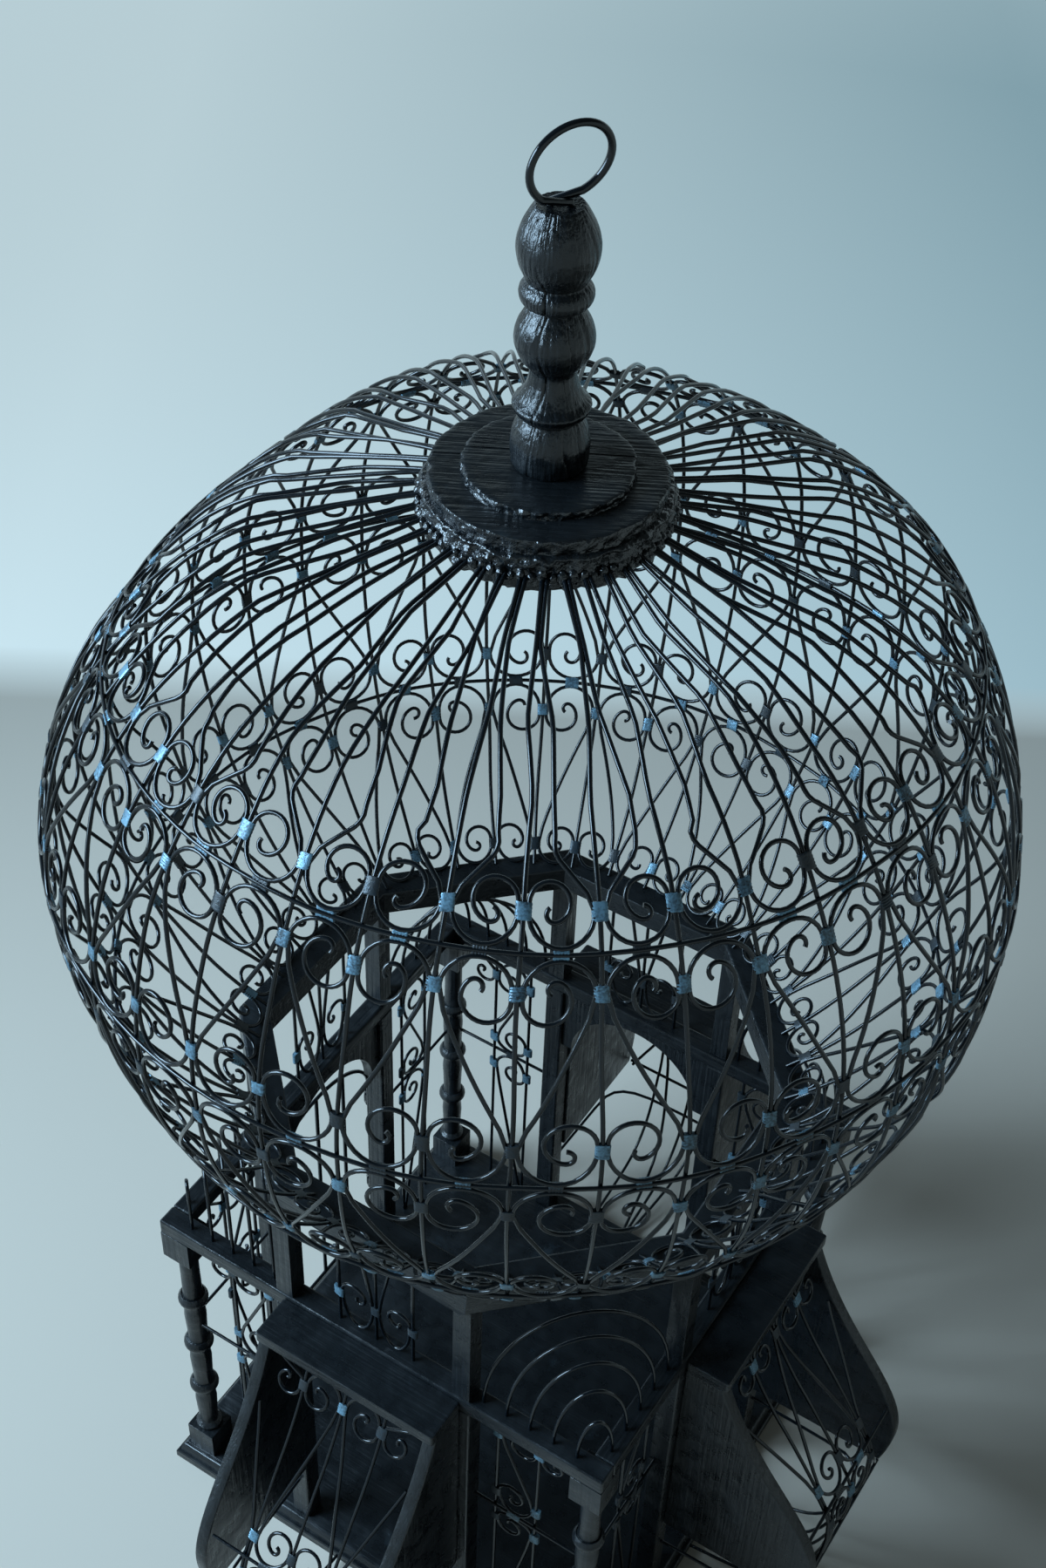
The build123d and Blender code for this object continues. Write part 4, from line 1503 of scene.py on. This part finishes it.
@dataclass
class BaseWirework:
    """The scrolled wire of the balconies, wall panels and drum, and the hoops over the corners."""

    clips: ClipShop
    step: float = 19.0
    drop: float = 12.0
    span: float = 10.0
    lift: float = 1.2
    # The balconies' belly, from the top down: distance out and height.
    belly: Outline = ((121.8, 177.0), (128.5, 160.0), (138.0, 143.0), (147.0, 130.0), (160.5, 109.0),
                      (170.5, 91.0), (173.0, 78.0), (171.8, 62.0), (169.8, 55.0), (166.5, 40.0),
                      (160.0, 24.0), (149.0, 12.5), (132.0, 7.0), (111.5, 3.2))
    band_level: float = 95.0
    balcony_edge: float = 1.9
    balcony_curl: float = 5.2
    balcony_blue: float = 0.4
    # The wire at a balcony's edge: where it starts, and how far under the band it ends.
    edge_start: float = 30.0
    edge_end: float = 34.0
    cross_levels: tuple[float, ...] = (95.0, 57.0)
    cross_lift: float = 1.4
    basket_level: float = 40.0
    basket_half: float = 41.5
    basket_foot: float = 42.4
    basket_round: float = 22.0
    basket_square: Pair = (0.5, 0.6)
    basket_steps: int = 12
    panel_band: float = 66.625
    panel_start: float = 56.457
    panel_line: float = 100.0
    panel_bar: Pair = (-0.5, 2.05)
    panel_curl: float = 4.6
    panel_blue: float = 0.45
    drum_step: float = 17.5
    drum_row: float = 19.0
    drum_blue: float = 0.35
    hoop_first: float = 14.0
    hoop_step: float = 10.6
    hoop_rise: float = 50.0
    hoop_square: float = 0.9
    hoop_steps: int = 28
    hoops: int = 5

    def tail(self, sheet: Sheet, hand: int, band: Band, steps: int) -> Route:
        """Draw the wire that curls under a band and crosses to the first rib's foot.

        Args:
            sheet: The sheet that the wire lies on.
            hand: The rib, 1 or -1, from which it crosses.
            band: The band.
            steps: Number of steps across.
        Returns:
            The wire's points.
        """
        foot = (0, hand * BESIDE, sheet.length)
        curl = half_band(sheet, hand, 0, band.under, band.ring, self.lift)
        cross = sheet.run((hand, -hand * BESIDE, band.under + GRIP), foot, steps)
        return curl[::-1] + cross + [sheet.place(*foot)]

    def hung_curl(self, sheet: Sheet, hand: int, radius: float, end: Pair) -> Route:
        """Draw the wire that curls under a rib's first clip, on the rib's outer side.

        Args:
            sheet: The sheet that the wire lies on.
            hand: The rib, 1 or -1.
            radius: The curl's usual outer radius.
            end: Rib and distance down of the wire's upper end.
        Returns:
            The wire's points.
        """
        curl = CURL.route(sheet, hand, hand, self.drop, -1, radius)
        clip = sheet.place(hand, hand * BESIDE, self.drop - GRIP)
        return curl[::-1] + [clip, sheet.place(end[0], 0, end[1])]

    def tie(self, sheet: Sheet, ribs: Sequence[int], band: Band, blue_share: float) -> None:
        """Wrap a grille's clips: those on its ribs, and then those on its ring wire.

        Args:
            sheet: The sheet that the wires lie on.
            ribs: The ribs' numbers.
            band: The grille's band.
            blue_share: Chance that a clip is rubbed to blue.
        """
        for rib in ribs:
            for row in (self.drop, band.over, band.under):
                self.clips.on_rib(sheet, rib, row, blue_share)
        for rib in ribs[1:]:
            self.clips.on_ring(sheet, rib - 0.5, band.ring, self.lift, blue_share)

    def belly_sheet(self, side: Side) -> WallSheet:
        """Give the sheet that a balcony's wires lie on."""
        return WallSheet(smooth_line(self.belly, 5), 0.0, self.step, side)

    def grille(self, side: Side) -> list[Route]:
        """Draw one balcony's grille, and wrap its clips.

        Args:
            side: The balcony's wall.
        Returns:
            The wires' points.
        """
        sheet, ribs = self.belly_sheet(side), (-1, 0, 1)
        shelf, band = Band.about(0.0, self.drop), Band.about(sheet.mark_of(self.band_level), self.span)
        routes = [sheet.rib(i, 48) for i in ribs]
        for hand in (1, -1):
            outer, beside = hand * self.balcony_edge, hand * BESIDE
            start, end = (outer, 0, self.edge_start), (outer, 0, band.under + self.edge_end)
            routes += [linked(sheet, 0, hand, shelf, band, self.lift), self.tail(sheet, hand, band, 14),
                       self.hung_curl(sheet, hand, self.balcony_curl, (outer, 2.0))]
            routes.append([sheet.place(*start)] + sheet.run(start, (hand, beside, band.over - GRIP), 8)
                          + [sheet.place(hand, beside, band.over + i * GRIP) for i in range(7)]
                          + sheet.run((hand, beside, band.under + GRIP), end, 8))
        self.tie(sheet, ribs, band, self.balcony_blue)
        return routes

    def rounds(self, side: Side) -> list[Route]:
        """Draw one balcony's cross wires: the straight ones, and one that rounds the basket under them.

        Args:
            side: The balcony's wall.
        Returns:
            The wires' points.
        """
        sheet = self.belly_sheet(side)
        routes = [[sheet.place(k / 4 * self.balcony_edge, 0, sheet.mark_of(level), self.cross_lift)
                   for k in range(-4, 5)] for level in self.cross_levels]
        front = sheet.place(0, 0, sheet.mark_of(self.basket_level), self.cross_lift)
        reach = -(sheet.spin.inverted() @ front).y
        bend = [(-self.basket_foot, WALLS.half)]
        for i in range(self.basket_steps + 1):
            angle = math.pi * i / self.basket_steps
            aside = self.basket_half * abs(math.cos(angle)) ** self.basket_square[0]
            swell = self.basket_round * math.sin(angle) ** self.basket_square[1]
            bend.append((-math.copysign(aside, math.cos(angle)), reach - self.basket_round + swell))
        bend.append((self.basket_foot, WALLS.half))
        return routes + [[sheet.spin @ Vector((x, -out, front.z)) for x, out in bend]]

    def panel(self, side: Side, mirror: int) -> list[Route]:
        """Draw the wires of one narrow wall panel beside a corner post, and wrap their clips.

        Args:
            side: The panel's wall.
            mirror: 1 for the panel on the wall's right, -1 for the one on its left.
        Returns:
            The wires' points.
        """
        sheet = WallSheet([(self.panel_line, WALLS.rail_bottom), (self.panel_line, WALLS.board)],
                          self.panel_start * mirror, self.step * mirror, side)
        rail, band, ribs = Band.about(0.0, self.drop), Band.about(self.panel_band, self.span), (0, 1)
        self.tie(sheet, ribs, band, self.panel_blue)
        return [*(sheet.rib(i, 4) for i in ribs), linked(sheet, 0, 1, rail, band, self.lift),
                self.tail(sheet, 1, band, 8), self.hung_curl(sheet, 1, self.panel_curl, (1.5, 1.0)),
                [sheet.place(rib, 0, band.ring, self.lift) for rib in self.panel_bar]]

    def drum(self, side: Side) -> list[Route]:
        """Draw the wires of one broad side of the drum, and wrap their clips.

        Args:
            side: The side.
        Returns:
            The wires' points.
        """
        stations = [(WALLS.line, WALLS.ring_bottom), (WALLS.line, WALLS.rail_top)]
        sheet = WallSheet(stations, 0.0, self.drum_step, side)
        ribs, row = (-1, 0, 1), sheet.length - self.drum_row
        routes = [sheet.rib(i, 4) for i in ribs]
        for hand in (1, -1):
            start = (hand / 2, 0, 0)
            routes.append([sheet.place(*start)] + sheet.run(start, (0, hand * BESIDE, row - GRIP), 6)
                          + half_band(sheet, 0, hand, row, sheet.length + WIRE_RADIUS, 0.0))
        for rib in ribs:
            self.clips.on_rib(sheet, rib, row, self.drum_blue)
        return routes

    def hoop(self, side: Side, number: int) -> Route:
        """Draw one arched wire over a corner.

        Args:
            side: The wall whose right end is at the corner.
            number: The hoop's number, from the corner inwards.
        Returns:
            The wire's points.
        """
        setback = self.hoop_first + self.hoop_step * number
        foot = Vector((WALLS.half - setback, -WALLS.line, WALLS.rail_top))
        other = Vector((WALLS.line, setback - WALLS.half, WALLS.rail_top))
        middle = (foot + other) / 2
        rise = self.hoop_rise * math.sqrt((number + 1) / self.hoops)
        angles = [math.pi * i / self.hoop_steps for i in range(self.hoop_steps + 1)]
        route = [middle + (foot - middle) * math.cos(a) + UP * rise * math.sin(a) ** self.hoop_square
                 for a in angles]
        return turned_about(route, side.value)

    def build(self) -> None:
        """Make all the wirework of the base."""
        grilles = [route for side in BALCONY_SIDES for route in self.grille(side)]
        wire_piece("balcony_scroll_wires", grilles, "balcony_grilles")
        rounds = [route for side in BALCONY_SIDES for route in self.rounds(side)]
        wire_piece("balcony_hoop_wires", rounds, "balcony_cross_wires")
        panels = [route for side in Side for mirror in (1, -1) for route in self.panel(side, mirror)]
        wire_piece("wall_scroll_wires", panels, "wall_grilles")
        drums = [route for side in Side for route in self.drum(side)]
        wire_piece("drum_scroll_wires", drums, "drum_grilles")
        hoops = [self.hoop(side, i) for side in Side for i in range(self.hoops)]
        wire_piece("corner_hoop_wires", hoops, "corner_hoops")
        self.clips.finish("base_clips")


@dataclass
class Door:
    """The arched wire door in the left wall, with its hinge."""

    half: float = 39.557
    out: float = 107.65
    sill: float = 16.0
    spring: float = 122.0
    rise: float = 30.4
    arch_steps: int = 30
    wire: float = 0.95
    bar_rise: float = 1.0
    bars: tuple[float, ...] = (-0.5, 0.0, 0.5)
    pull_reach: float = 10.0
    pull_half: float = 5.0
    pull_square: float = 0.7
    pull_steps: int = 16
    pull_wire: float = 0.85
    hinge_edge: float = 0.3

    def wires(self, name: str, outlines: Iterable[Sequence[Pair]], node: str) -> None:
        """Make wires that lie in the door's plane.

        Args:
            name: The piece's name.
            outlines: Each wire's points, as distance along the wall and height.
            node: The solid that it replaces.
        """
        routes = [turned_about([Vector((x, -self.out, z)) for x, z in outline], Side.LEFT.value)
                  for outline in outlines]
        wire_piece(name, routes, node, self.wire, body=Body.DOOR)

    def build(self) -> None:
        """Make the frame, the bars and the pull."""
        turns = [math.pi * i / self.arch_steps for i in range(self.arch_steps + 1)]
        arch = [(-self.half * math.cos(a), self.spring + self.rise * math.sin(a)) for a in turns]
        outline = [(-self.half, self.sill), *arch, (self.half, self.sill)]
        self.wires("door_arch_frame", [outline], "door_frame")
        low = self.sill + self.bar_rise
        bars = [[(-self.half, low), (self.half, low)]]
        for share in self.bars:
            bars.append([(share * self.half, low),
                         (share * self.half, self.spring + self.rise * math.sqrt(1 - share * share))])
        self.wires("door_upright_bars", bars, "door_bars")
        middle = (self.sill + self.spring) / 2
        turns = [math.pi * i / self.pull_steps for i in range(self.pull_steps + 1)]
        pull = [Vector((self.half, -self.out - self.pull_reach * math.sin(a) ** self.pull_square,
                        middle + self.pull_half * math.cos(a))) for a in turns]
        wire_piece("door_pull_loop", [turned_about(pull, Side.LEFT.value)], "door_pull", self.pull_wire,
                   body=Body.DOOR)

    def dress(self) -> None:
        """Give the hinge's own solids their finish."""
        for node in ("door_eyes", "wall_eyes", "hinge_pin"):
            dress_solid(node, Finish.WIRE, self.hinge_edge)


@dataclass(frozen=True)
class Lamp:
    """A square soft lamp, placed in metres to the camera's right, away from it and up."""

    name: str
    place: tuple[float, float, float]
    size: float
    power: float
    spread: float
    colour: str

    def hang(self, right: Vector, away: Vector, aim: Vector) -> None:
        """Hang the lamp.

        Args:
            right: The level direction to the camera's right.
            away: The level direction away from the camera.
            aim: The point that the lamp faces.
        """
        data = bpy.data.lights.new(self.name, "AREA")
        data.size = self.size
        data.energy = self.power
        data.spread = math.radians(self.spread)
        data.color = linear(self.colour)[:3]
        lamp = put(self.name, data)
        lamp.location = right * self.place[0] + away * self.place[1] + UP * self.place[2]
        lamp.rotation_mode = "QUATERNION"
        lamp.rotation_quaternion = (aim - lamp.location).to_track_quat("-Z", "Y")


@dataclass
class Studio:
    """The floor, the light and the camera."""

    elevation: float = 43.23
    roll: float = 2.3
    distance: float = 773.6
    aside: float = -4.1
    aim: float = 406.0
    focal_px: float = 2500.0
    image_height: float = 1799.0
    sensor: float = 36.0
    clip: Pair = (0.05, 120.0)
    floor_half: float = 40000.0
    floor_level: float = -0.05
    sky_colour: str = "b7ced5"
    sky_strength: float = 0.15
    sky_band: Pair = (0.15, 0.5)
    lamp_aim: Pair = (-0.2, 0.3)
    lamps: tuple[Lamp, ...] = (Lamp("soft_left", (-1.25, -0.17, 0.86), 0.85, 15.5, 80.0, "aed0ea"),
                               Lamp("soft_back", (-1.5, 2.0, 1.2), 1.2, 3.6, 120.0, "b8d4ec"))

    def floor(self) -> None:
        """Lay a large plain floor."""
        h = self.floor_half
        verts = [Vector((x, y, self.floor_level)) for x, y in ((-h, -h), (h, -h), (h, h), (-h, h))]
        mesh_piece("studio_floor", (verts, [[0, 1, 2, 3]]), Finish.FLOOR, smooth=False)

    def light(self) -> None:
        """Hang the lamps under an even sky, which looks brighter near the horizon than the light it gives."""
        world = bpy.data.worlds.new("studio_sky")
        world.use_nodes = True
        add = functools.partial(add_node, world.node_tree)
        place = add("ShaderNodeTexCoord", out="Generated")
        rise = add("ShaderNodeSeparateXYZ", {0: place}, "Z")
        low = add("ShaderNodeMapRange", {0: rise, 1: self.sky_band[0], 2: self.sky_band[1], 3: 1.0, 4: 0.0})
        seen = add("ShaderNodeMath", {0: seen_rays(add), 1: low}, operation="MULTIPLY")
        strength = add("ShaderNodeMapRange", {0: seen, 3: self.sky_strength})
        feed(world.node_tree.nodes["Background"], {"Color": linear(self.sky_colour), "Strength": strength})
        bpy.context.scene.world = world
        right, away = level_axes(HEADING)
        for lamp in self.lamps:
            lamp.hang(right, away, right * self.lamp_aim[0] + UP * self.lamp_aim[1])

    def camera(self) -> None:
        """Stand the camera at the photograph's viewing angle."""
        data = bpy.data.cameras.new("camera")
        data.sensor_width = self.sensor
        data.lens = self.focal_px / self.image_height * self.sensor
        data.clip_start, data.clip_end = self.clip
        level, away = level_axes(HEADING)
        tilt, roll = math.radians(self.elevation), math.radians(self.roll)
        forward = away * math.cos(tilt) - UP * math.sin(tilt)
        steep = away * math.sin(tilt) + UP * math.cos(tilt)
        right = level * math.cos(roll) + steep * math.sin(roll)
        upward = steep * math.cos(roll) - level * math.sin(roll)
        spot = level * self.aside + UP * self.aim - forward * self.distance
        turn = Matrix((right, upward, -forward)).transposed().to_4x4()
        camera = put("camera", data)
        camera.matrix_world = Matrix.Translation(spot * MM) @ turn
        bpy.context.scene.camera = camera

    def build(self) -> None:
        """Make the floor, the light and the camera."""
        bpy.context.scene.view_settings.view_transform = "Standard"
        self.floor()
        self.light()
        self.camera()


def main() -> None:
    """Build the cage's pieces in order, then the studio."""
    # Unseeded, the dome's waver would start from another place on every run.
    noise.seed_set(SEED)
    clips = ClipShop(random.Random(SEED))
    dome = Dome(clips)
    dome.build()
    dome.dress()
    Cap().build()
    Finial().build()
    storey = Storey()
    storey.build()
    storey.dress()
    BaseWirework(clips).build()
    door = Door()
    door.build()
    door.dress()
    Studio().build()


if __name__ == "__main__":
    main()
